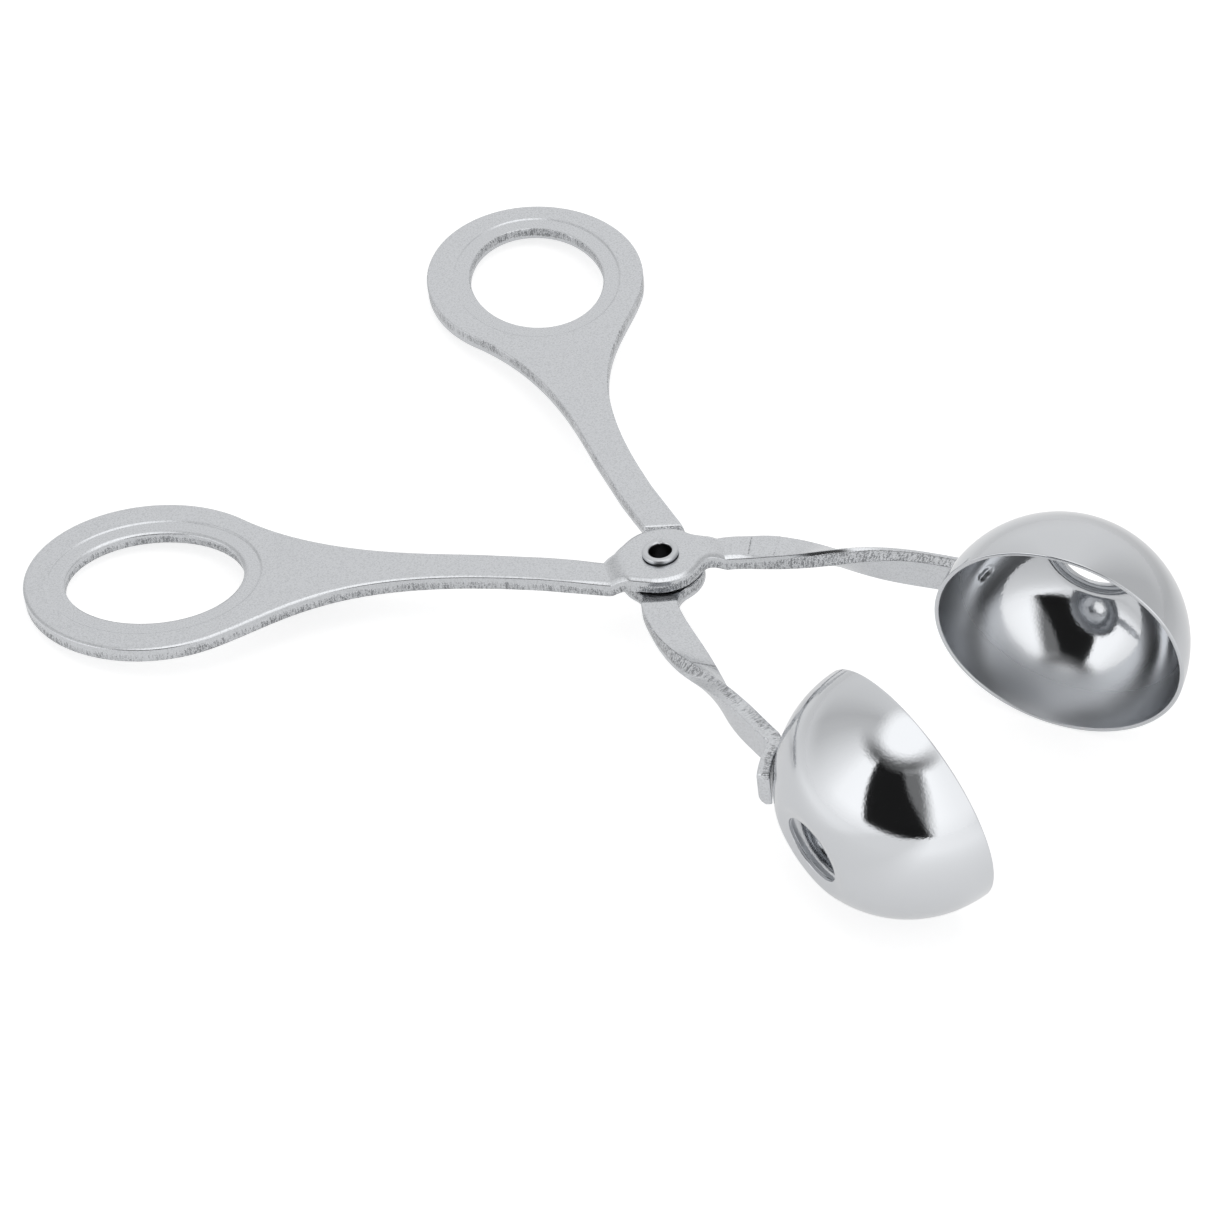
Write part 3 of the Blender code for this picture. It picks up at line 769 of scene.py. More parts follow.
def approach_stations():
    """From the plate's end to the foot of the handle's joggle."""
    foot = -heading_vector(EYE_HEADING) * HANDLE_FOOT
    start = handle_end()
    approach = math.atan2(foot.y - start.y, foot.x - start.x)
    stations = [level_station(start, heading_vector(HANDLE_HEADING), STRIP_WIDTH / 2)]
    for index in range(1, APPROACH_STEPS):
        share = index / APPROACH_STEPS
        cut = HANDLE_HEADING + (EYE_HEADING - HANDLE_HEADING) * share * share
        half = STRIP_WIDTH / 2 / math.cos(cut - approach)
        distance = HANDLE_FOOT + (foot - start).length * (1 - share)
        rounding = joggle_rounding(distance, HANDLE_JOGGLE)
        station = level_station(start.lerp(foot, share), heading_vector(cut), half, 0, rounding)
        station.roll_share = 1 + (EYE_ROLL_SHARE - 1) * blend(*EYE_ROLL_SPAN, share)
        stations.append(station)
    return stations, STRIP_WIDTH / 2 / math.cos(EYE_HEADING - approach)


def eye_distances(foot):
    """Distances of the eye's stations from the pivot, with one on the line where the joggle starts."""
    distances = [foot * math.sin(math.pi / 2 * index / EYE_STEPS) for index in range(EYE_STEPS + 1)]
    nearest = min(range(len(distances)), key=lambda index: abs(distances[index] - EYE_RADIUS))
    distances[nearest] = EYE_RADIUS
    return distances


def eye_stations(handle_half):
    """Through the eye, and the numbers of the first and last stations of its flat part."""
    eye_way = heading_vector(EYE_HEADING)
    stations = []
    flat = []
    for distance in reversed(eye_distances(HANDLE_FOOT)[1:]):
        if 0 < distance < EYE_RADIUS * FLAT_EYE_SHARE:
            flat.append(len(stations))
        inner = taper_half_width(distance, handle_half, INNER_TAPER)
        outer = taper_half_width(distance, handle_half, OUTER_TAPER)
        middle = left_of(eye_way) * (inner - outer) / 2 - eye_way * distance
        lift = joggle_height(distance, HANDLE_JOGGLE)
        rounding = joggle_rounding(distance, HANDLE_JOGGLE)
        stations.append(level_station(middle, eye_way, (inner + outer) / 2, lift, rounding))
        stations[-1].strain_and_shade = joggle_strain_and_shade(distance, HANDLE_JOGGLE)
    for distance in eye_distances(NECK_FOOT):
        if distance < EYE_RADIUS * FLAT_EYE_SHARE:
            flat.append(len(stations))
        half = eye_half_width(distance, NECK_WIDTH / 2)
        lift = joggle_height(distance, NECK_JOGGLE)
        rounding = joggle_rounding(distance, NECK_JOGGLE)
        stations.append(level_station(eye_way * distance, eye_way, half, lift, rounding))
        stations[-1].strain_and_shade = joggle_strain_and_shade(distance, NECK_JOGGLE)
    for station in stations:
        station.roll_share = EYE_ROLL_SHARE
    return stations, flat[0], flat[-1]


def crease_depth(reach, creases):
    """Depth of the creases across one face of the neck."""
    return sum(
        depth * math.exp(-((reach - place) / CREASE_HALF_WIDTH) ** 2) for place, depth in creases
    )


def ball_centre():
    """Centre of the bowl's ball in the arm's plane."""
    return Vector((BOWL_REACH, RIM_LEAD * math.cos(BOWL_CANT)))


def bend_centre():
    """Centre of the bend that turns the neck from its straight run onto the bowl."""
    centre = ball_centre()
    rise = NECK_OFFSET + BEND_PATH_RADIUS - centre.y
    run = math.sqrt((TAB_PATH_RADIUS + BEND_PATH_RADIUS) ** 2 - rise ** 2)
    return Vector((centre.x - run, NECK_OFFSET + BEND_PATH_RADIUS))


def neck_stations():
    """The bowed and twisted neck, up to its bend at the bowl."""
    eye_way = heading_vector(EYE_HEADING)
    forward = Vector((1, 0))
    start = eye_way * NECK_FOOT
    end = Vector((bend_centre().x, NECK_OFFSET))
    plan = bezier(
        start, start + eye_way * NECK_LEAD_IN, end - forward * NECK_LEAD_OUT, end, NECK_STEPS
    )
    reach = [0]
    for first, second in zip(plan, plan[1:]):
        reach.append(reach[-1] + (second - first).length)
    stations = []
    for index in range(1, NECK_STEPS + 1):
        share = reach[index] / reach[-1]
        twist = NECK_TWIST * blend(TWIST_START_SHARE, TWIST_END_SHARE, share)
        travel = plan[min(index + 1, NECK_STEPS)] - plan[index - 1]
        way = forward if index == NECK_STEPS else travel.normalized()
        side = Vector((-way.y, way.x, 0))
        across = side * math.cos(twist) - Vector((0, 0, math.sin(twist)))
        upward = side * math.sin(twist) + Vector((0, 0, math.cos(twist)))
        half = (NECK_WIDTH + (NECK_TIP_WIDTH - NECK_WIDTH) * share) / 2
        place = Vector((plan[index].x, plan[index].y, 0))
        rounding = joggle_rounding(NECK_FOOT + reach[index], NECK_JOGGLE)
        station = Station(
            place + upward * rounding, across, upward, half, place, side, STOCK - rounding
        )
        narrowing = blend(*TWIST_ROLL_SPAN, share)
        station.roll_share = EYE_ROLL_SHARE + (TWIST_ROLL_SHARE - EYE_ROLL_SHARE) * narrowing
        right = WALL_WEAR + (INNER_WEAR - WALL_WEAR) * blend(*INNER_WEAR_SPAN, share)
        left = WALL_WEAR + (1 - WALL_WEAR) * blend(*OUTER_WEAR_RISE, share)
        left += (OUTER_WEAR - left) * blend(*OUTER_WEAR_FALL, share)
        station.wear = (left, right)
        station.top_groove = crease_depth(reach[index], TOP_CREASES)
        station.bottom_groove = crease_depth(reach[index], BOTTOM_CREASES)
        stations.append(station)
    return stations


def tab_nick(length):
    """Depth of the nick that crosses the tab where its chamfer starts."""
    over = length - (TAB_LENGTH - TAB_CHAMFER)
    return TAB_NICK * math.exp(-(over / TAB_NICK_HALF_WIDTH) ** 2)


def tab_thickness(length):
    """Thickness of the tab at a distance along it: full up to a nick and the chamfer at its end."""
    over = length - (TAB_LENGTH - TAB_CHAMFER)
    nick = tab_nick(length)
    if over < -TAB_CORNER:
        return TAB_STOCK - nick
    if over < TAB_CORNER:
        return TAB_STOCK - nick - (over + TAB_CORNER) ** 2 / (4 * TAB_CORNER)
    return TAB_STOCK - nick - over


def tab_heading_start():
    """Heading of the tab where its bend ends and its curve round the ball begins."""
    toward = ball_centre() - bend_centre()
    return math.pi / 2 - math.atan2(-toward.y, toward.x)


def tab_stations():
    """The neck's end: bent and pressed onto the bowl, rolled to its curve, and chamfered."""
    centre = bend_centre()
    ball = ball_centre()
    heading_end = tab_heading_start()
    bend_length = BEND_PATH_RADIUS * heading_end
    stations = []
    for index in range(1, BEND_STEPS + 1):
        heading = heading_end * index / BEND_STEPS
        point = centre - left_of(heading_vector(heading)) * BEND_PATH_RADIUS
        thickness = STOCK + (TAB_STOCK - STOCK) * index / BEND_STEPS
        stations.append(tab_station(point, heading, bend_length * index / BEND_STEPS, thickness))
    for index in range(1, TAB_STEPS + 1):
        length = (TAB_LENGTH - TAB_END_RADIUS) * index / TAB_STEPS
        stations.append(rolled_station(ball, heading_end, bend_length, length, 0))
    for index in range(1, LIP_STEPS + 1):
        angle = math.pi / 2 * index / LIP_STEPS
        length = TAB_LENGTH - TAB_END_RADIUS * (1 - math.sin(angle))
        stations.append(
            rolled_station(ball, heading_end, bend_length, length, TAB_END_RADIUS * (1 - math.cos(angle)))
        )
    return stations


def rolled_station(ball, heading_end, bend_length, length, trim):
    """A station of the tab where it follows the ball."""
    heading = heading_end - length / TAB_PATH_RADIUS
    point = ball + left_of(heading_vector(heading)) * TAB_PATH_RADIUS
    nick = tab_nick(length)
    return tab_station(point, heading, bend_length + length, tab_thickness(length), trim, nick)


def tab_station(point, heading, run, thickness, trim=0, nick=0):
    """A station of the neck after its twist, where its faces stand upright."""
    outward = left_of(heading_vector(heading))
    station = Station(
        Vector((point.x, point.y, 0)), Vector((0, 0, -1)), Vector((outward.x, outward.y, 0)),
        NECK_TIP_WIDTH / 2 - nick, Vector((bend_centre().x + run, NECK_OFFSET, 0)), Vector((0, 1, 0)),
        thickness, trim,
    )
    station.wear = (TAB_WEAR + TAB_NICK_WEAR_AND_SHADE * nick / TAB_NICK,) * 2
    return station


def finger_hole_rows(coin_depth):
    """Growth, height and dullness down through the finger hole: coined step, border, edge, and back."""
    half = STOCK / 2
    floor = half - coin_depth
    step = [(COIN_WIDTH + COIN_SLOPE + SUPPORT, half, 0)]
    for index in range(COIN_STEPS + 1):
        share = index / COIN_STEPS
        step.append((COIN_WIDTH + COIN_SLOPE * (1 - share), half - coin_depth * blend(0, 1, share), 0))
    step.append((COIN_WIDTH - SUPPORT, floor, 0))
    edge = edge_column(2 * floor, rolled_edge(HOLE_ROLL_WIDTH), round_edge(HOLE_EDGE_RADIUS))
    edge = [(inset, height, dull * WALL_WEAR) for inset, height, dull in edge]
    return step + edge + [(growth, -height, dull) for growth, height, dull in reversed(step)]


def add_plate(skin, end_ring, depth, edges):
    """The handle's plate with its finger loop, joined to the first section of the strip."""
    outline = handle_outline()
    normals = outline_normals(outline)
    column = edge_column(STOCK, rolled_edge(edges.rolled_edge), round_edge(edges.sheared_edge))
    right_start = depth + STRIP_CUTS
    bottom_cut = end_ring[depth:right_start]
    top_cut = end_ring[right_start + depth:]
    columns = [end_ring[:depth]]
    for point, normal in zip(outline[1:-1], normals[1:-1]):
        columns.append([
            skin.point(
                (point.x - normal.x * inset, point.y - normal.y * inset, height), None, dull * WALL_WEAR
            )
            for inset, height, dull in column
        ])
    columns.append(list(reversed(end_ring[right_start:right_start + depth])))
    skin.bridge_all(columns, closed=False)
    hole = []
    for growth, height, dull in finger_hole_rows(edges.coin_depth):
        ring = []
        for index in range(OVAL_STEPS):
            point = FINGER_HOLE.point(2 * math.pi * index / OVAL_STEPS, growth)
            ring.append(skin.point((point.x, point.y, height), None, dull))
        hole.append(ring)
    skin.bridge_all(hole)
    skin.fill_with_hole([line[0] for line in columns] + top_cut, hole[0])
    skin.fill_with_hole([line[-1] for line in columns] + list(reversed(bottom_cut)), hole[-1])


def add_eye_faces(skin, rings, depth):
    """Both faces of the eye's flat part, filled round the bore, and the bore's wall."""
    right_top = 2 * depth + STRIP_CUTS - 1
    first = rings[0]
    last = rings[-1]
    bore = []
    corner = round_edge(BORE_EDGE_RADIUS)
    for inset, height, dull in edge_column(STOCK, corner, corner):
        ring = []
        for index in range(BORE_STEPS):
            way = heading_vector(2 * math.pi * index / BORE_STEPS) * (PIVOT_HOLE_RADIUS + inset)
            ring.append(skin.point((way.x, way.y, EYE_LIFT + height), None, dull))
        bore.append(ring)
    skin.bridge_all(bore)
    top = [ring[0] for ring in rings] + list(reversed(last[right_top + 1:]))
    top += [ring[right_top] for ring in reversed(rings)] + first[right_top + 1:]
    bottom = [ring[depth - 1] for ring in rings] + last[depth:depth + STRIP_CUTS]
    bottom += [ring[depth + STRIP_CUTS] for ring in reversed(rings)]
    bottom += list(reversed(first[depth:depth + STRIP_CUTS]))
    skin.fill_with_hole(top, bore[0])
    skin.fill_with_hole(bottom, bore[-1])


def arm_mesh(edges):
    """The whole pressing as one closed skin."""
    skin = Skin()
    approach, handle_half = approach_stations()
    eye, flat_first, flat_last = eye_stations(handle_half)
    stations = approach + eye + neck_stations() + tab_stations()
    rings = [station.ring(skin, edges) for station in stations]
    depth = len(edge_column(STOCK, rolled_edge(edges.rolled_edge), round_edge(edges.sheared_edge)))
    flat_first += len(approach)
    flat_last += len(approach)
    faces = set(range(depth - 1, depth + STRIP_CUTS))
    faces |= set(range(2 * depth + STRIP_CUTS - 1, len(rings[0])))
    for index, (first, second) in enumerate(zip(rings, rings[1:])):
        skin.bridge(first, second, skip=faces if flat_first <= index < flat_last else ())
    skin.shape.faces.new(rings[-1])
    add_eye_faces(skin, rings[flat_first:flat_last + 1], depth)
    add_plate(skin, rings[0], depth, edges)
    return skin.finish("pressed_arm")


def turned_mesh(name, profile, steps, wear):
    """Body of revolution about Z, from a profile that is closed or has both its ends on the axis.

    The wear function turns a point's place and its number in the profile into its worn place and its
    dullness.
    """
    skin = Skin()
    rings = []
    for number, (radius, height) in enumerate(profile):
        if radius == 0:
            rings.append([skin.point((0, 0, height))])
            continue
        ring = []
        for index in range(steps):
            way = heading_vector(2 * math.pi * index / steps)
            place = Vector((radius * way.x, radius * way.y, height))
            place, dull = wear(place, number)
            ring.append(skin.point(place, None, dull))
        rings.append(ring)
    pairs = list(zip(rings, rings[1:]))
    if len(rings[0]) > 1:
        pairs.append((rings[-1], rings[0]))
    for first, second in pairs:
        if len(first) == len(second):
            skin.bridge(first, second)
            continue
        tip, ring = (first, second) if len(first) == 1 else (second, first)
        for index in range(steps):
            skin.shape.faces.new((tip[0], ring[index], ring[(index + 1) % steps]))
    return skin.finish(name)


def ball_arc(radius, start, end):
    """Profile of a ball between two angles from its pole, with the ball's centre beyond the rim's plane."""
    points = []
    for index in range(BOWL_ARC_STEPS + 1):
        angle = start + (end - start) * index / BOWL_ARC_STEPS
        points.append((radius * math.sin(angle), RIM_LEAD + radius * math.cos(angle)))
    return points


def quarter_round(corner, start, end, steps):
    """Rounding of a square corner from a start point to an end point, both included."""
    points = []
    for index in range(steps + 1):
        angle = math.pi / 2 * index / steps
        toward_start = 1 - math.sin(angle)
        toward_end = 1 - math.cos(angle)
        points.append(tuple(
            middle + (first - middle) * toward_start + (last - middle) * toward_end
            for middle, first, last in zip(corner, start, end)
        ))
    return points


def bowl_side(radius, dish_height, rim_radius):
    """One skin of the bowl, from beside the drain hole over the dish's rounded edge to the rim."""
    edge = math.asin(DISH_RADIUS / radius)
    fillet = DISH_FILLET / radius
    rim = math.acos((rim_radius - RIM_LEAD) / radius)
    slope = DISH_DEPTH / (DISH_RADIUS - DRAIN_RADIUS)
    arc = ball_arc(radius, edge + fillet, rim)
    start = (DISH_RADIUS - DISH_FILLET, dish_height - slope * DISH_FILLET)
    corner = (DISH_RADIUS, dish_height)
    profile = []
    for index in range(DISH_STEPS):
        t = index / DISH_STEPS
        profile.append(tuple(
            first * (1 - t) ** 2 + middle * 2 * t * (1 - t) + last * t * t
            for first, middle, last in zip(start, corner, arc[0])
        ))
    return profile + arc


def bowl_profile(rim_radius):
    """Closed profile of the shell, and the number of the first point of its inner skin."""
    outer_height = RIM_LEAD + math.sqrt(BOWL_RADIUS ** 2 - DISH_RADIUS ** 2)
    inner_height = outer_height - BOWL_WALL
    outer = bowl_side(BOWL_RADIUS, outer_height, rim_radius)
    inner = bowl_side(BOWL_INNER_RADIUS, inner_height, rim_radius)
    outer_lip = quarter_round(
        (outer[-1][0], 0), outer[-1], (outer[-1][0] - rim_radius, 0), LIP_STEPS
    )
    inner_lip = quarter_round(
        (inner[-1][0], 0), (inner[-1][0] + rim_radius, 0), inner[-1], LIP_STEPS
    )
    drain_top = outer_height - DISH_DEPTH
    drain_bottom = inner_height - DISH_DEPTH
    inner_drain = quarter_round(
        (DRAIN_RADIUS, drain_bottom), (DRAIN_RADIUS + DRAIN_EDGE_RADIUS, drain_bottom),
        (DRAIN_RADIUS, drain_bottom + DRAIN_EDGE_RADIUS), LIP_STEPS,
    )
    outer_drain = quarter_round(
        (DRAIN_RADIUS, drain_top), (DRAIN_RADIUS, drain_top - DRAIN_EDGE_RADIUS),
        (DRAIN_RADIUS + DRAIN_EDGE_RADIUS, drain_top), LIP_STEPS,
    )
    inner_start = len(outer) + len(outer_lip) - 1
    profile = outer[:-1] + outer_lip + inner_lip + list(reversed(inner[:-1])) + inner_drain + outer_drain
    return profile, inner_start


def weld_direction():
    """From the ball's centre to the weld at the start of the tab, in the bowl's own axes."""
    heading = tab_heading_start()
    outward = left_of(heading_vector(heading))
    turn = Matrix.Rotation(BOWL_CANT - math.pi / 2, 3, "X")
    return turn.inverted() @ Vector((outward.x, outward.y, 0))


def bowl_mesh(detail):
    """Half-ball shell: the rim lies in the local XY plane, and the drain hole is at the pole."""
    profile, inner_start = bowl_profile(detail.rim_radius)
    centre = Vector((0, 0, RIM_LEAD))
    start = weld_direction()
    aside = start.cross(Vector((0, 0, 1))).normalized()
    down = start.cross(aside)
    weld = start * BOWL_INNER_RADIUS + aside * WELD_SHIFT[0] + down * WELD_SHIFT[1]
    weld.normalize()
    across = weld.cross(aside * math.cos(WELD_TURN) + down * math.sin(WELD_TURN)).normalized()
    along = across.cross(weld)

    def wear(place, number):
        """Press the weld mark into the inner skin, and leave the skin dull towards the rim."""
        if number < inner_start:
            return place, 0
        outward = place - centre
        dull = blend(*DULL_SPAN, outward.angle(Vector((0, 0, 1))))
        if outward.dot(weld) < 0:
            return place, dull
        u = outward.dot(along) / (detail.weld_length / 2)
        v = outward.dot(across) / (detail.weld_width / 2)
        reach = (u ** 4 + v ** 4) ** 0.25
        floor = 1 - blend(*WELD_EDGE_SPAN, reach)
        rim = WELD_RIM_SHARE * math.exp(-((reach - WELD_RIM_REACH) / WELD_RIM_HALF_WIDTH) ** 2)
        return place + outward.normalized() * detail.weld_depth * (floor - rim), dull

    return turned_mesh("half_ball", profile, BOWL_STEPS, wear)


def rivet_mesh():
    """Tubular rivet, standing on the pivot: solid head down, rolled end up, and its bore marked for painted
    shade.
    """
    seat = EYE_TOP + RUNNING_GAP
    floor = seat + ROLL_HEIGHT - RIVET_BORE_DEPTH
    dome = RIVET_HEAD_HEIGHT - RIVET_HEAD_EDGE
    roll_middle = (ROLL_RADIUS + RIVET_BORE_RADIUS) / 2
    roll_half = (ROLL_RADIUS - RIVET_BORE_RADIUS) / 2
    profile = [(0, -seat - RIVET_HEAD_HEIGHT)]
    for index in range(1, RIVET_ARC_STEPS + 1):
        angle = math.pi / 2 * index / RIVET_ARC_STEPS
        profile.append((
            RIVET_HEAD_RADIUS * math.sin(angle),
            -seat - RIVET_HEAD_EDGE - dome * math.cos(angle),
        ))
    profile.append((RIVET_HEAD_RADIUS, -seat))
    profile.append((RIVET_RADIUS, -seat))
    profile.append((RIVET_RADIUS, seat))
    for index in range(RIVET_ARC_STEPS + 1):
        angle = math.pi * index / RIVET_ARC_STEPS
        side = math.copysign(abs(math.cos(angle)) ** ROLL_SIDE_POWER, math.cos(angle))
        crown = max(math.sin(angle), 0) ** ROLL_CROWN_POWER
        profile.append((roll_middle + roll_half * side, seat + ROLL_HEIGHT * crown))
    bore_start = len(profile) - 1
    profile.append((RIVET_BORE_RADIUS, seat - ROLL_HEIGHT))
    profile.append((RIVET_BORE_RADIUS, floor))
    profile.append((0, floor - RIVET_BORE_POINT))

    def wear(place, number):
        """Nick the roll's crown, and mark the bore for painted shade."""
        off = math.atan2(place.y, place.x) - NICK_BEARING
        nick = NICK_DEPTH * math.exp(-(off / NICK_HALF_ANGLE) ** 2)
        lowered = max(place.z - nick, seat) if place.z > seat else place.z
        return Vector((place.x, place.y, lowered)), 1 if number >= bore_start else 0

    return turned_mesh("tubular_rivet", profile, RIVET_STEPS, wear)


def add_node(tree, kind, inputs=(), **settings):
    """Add one node with its settings, and set its inputs or link them.

    The inputs are by name or in order. A node given as an input stands for its first result in use.
    """
    node = tree.nodes.new("ShaderNode" + kind)
    for name, value in settings.items():
        setattr(node, name, value)
    for name, value in inputs.items() if isinstance(inputs, dict) else enumerate(inputs):
        if isinstance(value, bpy.types.Node):
            value = next(socket for socket in value.outputs if socket.enabled)
        if isinstance(value, bpy.types.NodeSocket):
            tree.links.new(value, node.inputs[name])
        else:
            node.inputs[name].default_value = value
    return node


def metal(name, colour, roughness):
    """A bare metal, with its tree, its shader, and its points' place in millimetres and dullness."""
    material = bpy.data.materials.new(name)
    material.use_nodes = True
    material.diffuse_color = (*colour, 1)
    tree = material.node_tree
    shader = tree.nodes["Principled BSDF"]
    shader.inputs["Base Color"].default_value = (*colour, 1)
    shader.inputs["Metallic"].default_value = 1
    shader.inputs["Roughness"].default_value = roughness
    place = add_node(tree, "Attribute", attribute_name="strip").outputs["Vector"]
    place = add_node(tree, "VectorMath", (place, (1 / MM, 1 / MM, 1 / MM)), operation="MULTIPLY")
    dull = add_node(tree, "Attribute", attribute_name="dull").outputs["Fac"]
    return material, tree, shader, place, dull


def plated_pressed_strip(finish):
    """Chrome plated mild steel strip, pressed cold and tumbled.

    Tumbling leaves the faces satin with a faint speckle, and the edge that rolls over is burnished. On
    the sides the punch tore the lower part of the thickness, so that there the plating lies over a
    rough wall that shows dark and white speckles from its bumps, with painted shade darkening its pits.
    """
    material, tree, shader, place, dull = metal(
        "plated_pressed_strip", finish.strip_colour, finish.strip_roughness
    )
    down_wall = add_node(tree, "VectorMath", (place, DOWN_WALL), operation="MULTIPLY")
    speckle, cloud, streak, grain = (
        add_node(tree, "TexNoise", {"Vector": where, "Scale": SPOT_SHARE / width, "Detail": detail})
        for where, width, detail in (
            (place, SPECKLE, 3), (place, CLOUD, 2), (down_wall, SPECKLE, 3), (place, TEAR_GRAIN, 3),
        )
    )
    patch = add_node(tree, "Math", (streak, STREAK_SHARE, cloud), operation="MULTIPLY_ADD")
    tearing = add_node(tree, "Math", (dull, patch), operation="ADD")
    marks = add_node(tree, "Math", (grain, streak), operation="ADD")
    torn, pit_shade, mottle = (
        add_node(
            tree, "MapRange", {"Value": value, "From Min": start, "From Max": end},
            interpolation_type="SMOOTHSTEP",
        )
        for value, (start, end) in ((tearing, TORN_SPAN), (marks, PIT_SHADE_SPAN), (speckle, MOTTLE_SPAN))
    )

    satin = add_node(tree, "MapRange", {
        "Value": cloud, "From Min": CLOUD_SPAN[0], "From Max": CLOUD_SPAN[1],
        "To Min": finish.strip_roughness + CLOUD_ROUGHNESS[0],
        "To Max": finish.strip_roughness + CLOUD_ROUGHNESS[1],
    })
    burnished = add_node(tree, "Math", (dull, 0), operation="MINIMUM")
    face = add_node(tree, "Math", (burnished, BURNISH, satin), operation="MULTIPLY_ADD")
    roughness = add_node(tree, "Mix", {"Factor": torn, "A": face, "B": TORN_ROUGHNESS})
    tree.links.new(roughness.outputs["Result"], shader.inputs["Roughness"])

    # The faces' random mottle, then painted shade darkening the pits of torn metal
    shade = (*finish.strip_colour, 1)
    for mask, share in ((mottle, MOTTLE), (torn, pit_shade)):
        mask = add_node(tree, "Math", (mask, share), operation="MULTIPLY")
        shade = add_node(
            tree, "Mix", {"Factor": mask, "A": shade, "B": (*finish.mottle_and_pit_shade_colour, 1)}, data_type="RGBA"
        )
    tree.links.new(shade.outputs["Result"], shader.inputs["Base Color"])

    fine = add_node(tree, "Bump", {"Height": speckle, "Strength": 1, "Distance": SPECKLE_DEPTH})
    tear = add_node(tree, "Math", (streak, STREAK_SHARE, grain), operation="MULTIPLY_ADD")
    depth = add_node(tree, "Math", (torn, tear), operation="MULTIPLY")
    coarse = add_node(tree, "Bump", {"Height": depth, "Strength": 1, "Distance": TEAR_DEPTH, "Normal": fine})
    tree.links.new(coarse.outputs["Normal"], shader.inputs["Normal"])
    return material


def mirror_plated_bowl(finish):
    """Drawn steel bowl, polished and chrome plated.

    The plating mirrors the studio, a little unevenly, because the drawing left the wall faintly wavy
    and grained like orange peel. Inside, the polishing wheel didn't reach the rim, which stays duller.
    """
    material, tree, shader, place, dull = metal(
        "mirror_plated_bowl", finish.bowl_colour, finish.bowl_roughness
    )
    wave, peel = (
        add_node(tree, "TexNoise", {"Vector": place, "Scale": SPOT_SHARE / width, "Detail": detail})
        for width, detail in ((BOWL_WAVE, 1), (BOWL_PEEL, 2))
    )
    rough = add_node(
        tree, "MapRange", {"Value": dull, "To Min": finish.bowl_roughness, "To Max": DULL_BOWL_ROUGHNESS}
    )
    tree.links.new(rough.outputs["Result"], shader.inputs["Roughness"])
    fine = add_node(tree, "Bump", {"Height": peel, "Strength": 1, "Distance": PEEL_DEPTH})
    broad = add_node(tree, "Bump", {"Height": wave, "Strength": 1, "Distance": WAVE_DEPTH, "Normal": fine})
    tree.links.new(broad.outputs["Normal"], shader.inputs["Normal"])
    return material


def bright_rivet_steel(finish):
    """Drawn steel rivet, plated with the tongs and rolled over by a hollow punch.

    Rolling draws the end tight and bright, with a fine grain. The bore is painted dark as shade in the hole.
    """
    material, tree, shader, place, dull = metal("bright_rivet_steel", finish.rivet_colour, RIVET_ROUGHNESS)
    # Painted shade darkens the bore
    shade = add_node(
        tree, "Mix", {"Factor": dull, "A": (*finish.rivet_colour, 1), "B": (*finish.bore_painted_shade, 1)},
        data_type="RGBA",
    )
    tree.links.new(shade.outputs["Result"], shader.inputs["Base Color"])
    scale = SPOT_SHARE / RIVET_SPECKLE
    speckle = add_node(tree, "TexNoise", {"Vector": place, "Scale": scale, "Detail": 3})
    fine = add_node(tree, "Bump", {"Height": speckle, "Strength": 1, "Distance": RIVET_SPECKLE_DEPTH})
    tree.links.new(fine.outputs["Normal"], shader.inputs["Normal"])
    return material


def add_piece(name, mesh, material, matrix, body, node):
    """Put a mesh in place of a node of the frame, riding on the node's body."""
    piece = bpy.data.objects.new(name, mesh)
    bpy.context.scene.collection.objects.link(piece)
    mesh.transform(matrix)
    mesh.materials.append(material)
    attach(piece, body)
    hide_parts(node)
    return piece


def pivot_frame():
    """Place and tilt of the pivot, from the frame's joint."""
    axis = Vector(PIVOT_JOINT["axis"])
    tilt = math.atan2(-axis.x, axis.z)
    return Matrix.Translation(PIVOT_JOINT["pos_m"]) @ Matrix.Rotation(-tilt, 4, "Y")


def arm_matrices():
    """Places of the upper arm, and of the lower arm, which is the same pressing turned over."""
    upper = pivot_frame() @ Matrix.Rotation(HALF_OPENING, 4, "Z")
    lower = pivot_frame() @ Matrix.Rotation(-HALF_OPENING, 4, "Z") @ Matrix.Rotation(math.pi, 4, "X")
    return {"upper": upper, "lower": lower}


class TONGS_OT_arms(bpy.types.Operator):
    """Make both pressed arms"""

    bl_idname = "tongs.arms"
    bl_label = "Make Arms"

    def execute(self, context):
        finish = context.scene.tongs_finish
        material = plated_pressed_strip(finish)
        for side, matrix in arm_matrices().items():
            mesh = arm_mesh(context.scene.tongs_arm)
            add_piece(
                "pressed_" + side + "_arm", mesh, material, matrix,
                side + "_half", side + "_arm",
            )
        return {"FINISHED"}


class TONGS_OT_bowls(bpy.types.Operator):
    """Make both half-ball bowls"""

    bl_idname = "tongs.bowls"
    bl_label = "Make Bowls"

    def execute(self, context):
        finish = context.scene.tongs_finish
        material = mirror_plated_bowl(finish)
        place = Matrix.Translation((BOWL_REACH, 0, 0)) @ Matrix.Rotation(BOWL_CANT - math.pi / 2, 4, "X")
        for side, matrix in arm_matrices().items():
            mesh = bowl_mesh(context.scene.tongs_bowl)
            add_piece(
                "drawn_" + side + "_bowl", mesh, material, matrix @ place,
                side + "_half", side + "_bowl",
            )
        return {"FINISHED"}


class TONGS_OT_rivet(bpy.types.Operator):
    """Make the rolled rivet"""

    bl_idname = "tongs.rivet"
    bl_label = "Make Rivet"

    def execute(self, context):
        material = bright_rivet_steel(context.scene.tongs_finish)
        add_piece(
            "rolled_rivet", rivet_mesh(), material, pivot_frame(),
            "lower_half", "pivot_rivet",
        )
        return {"FINISHED"}


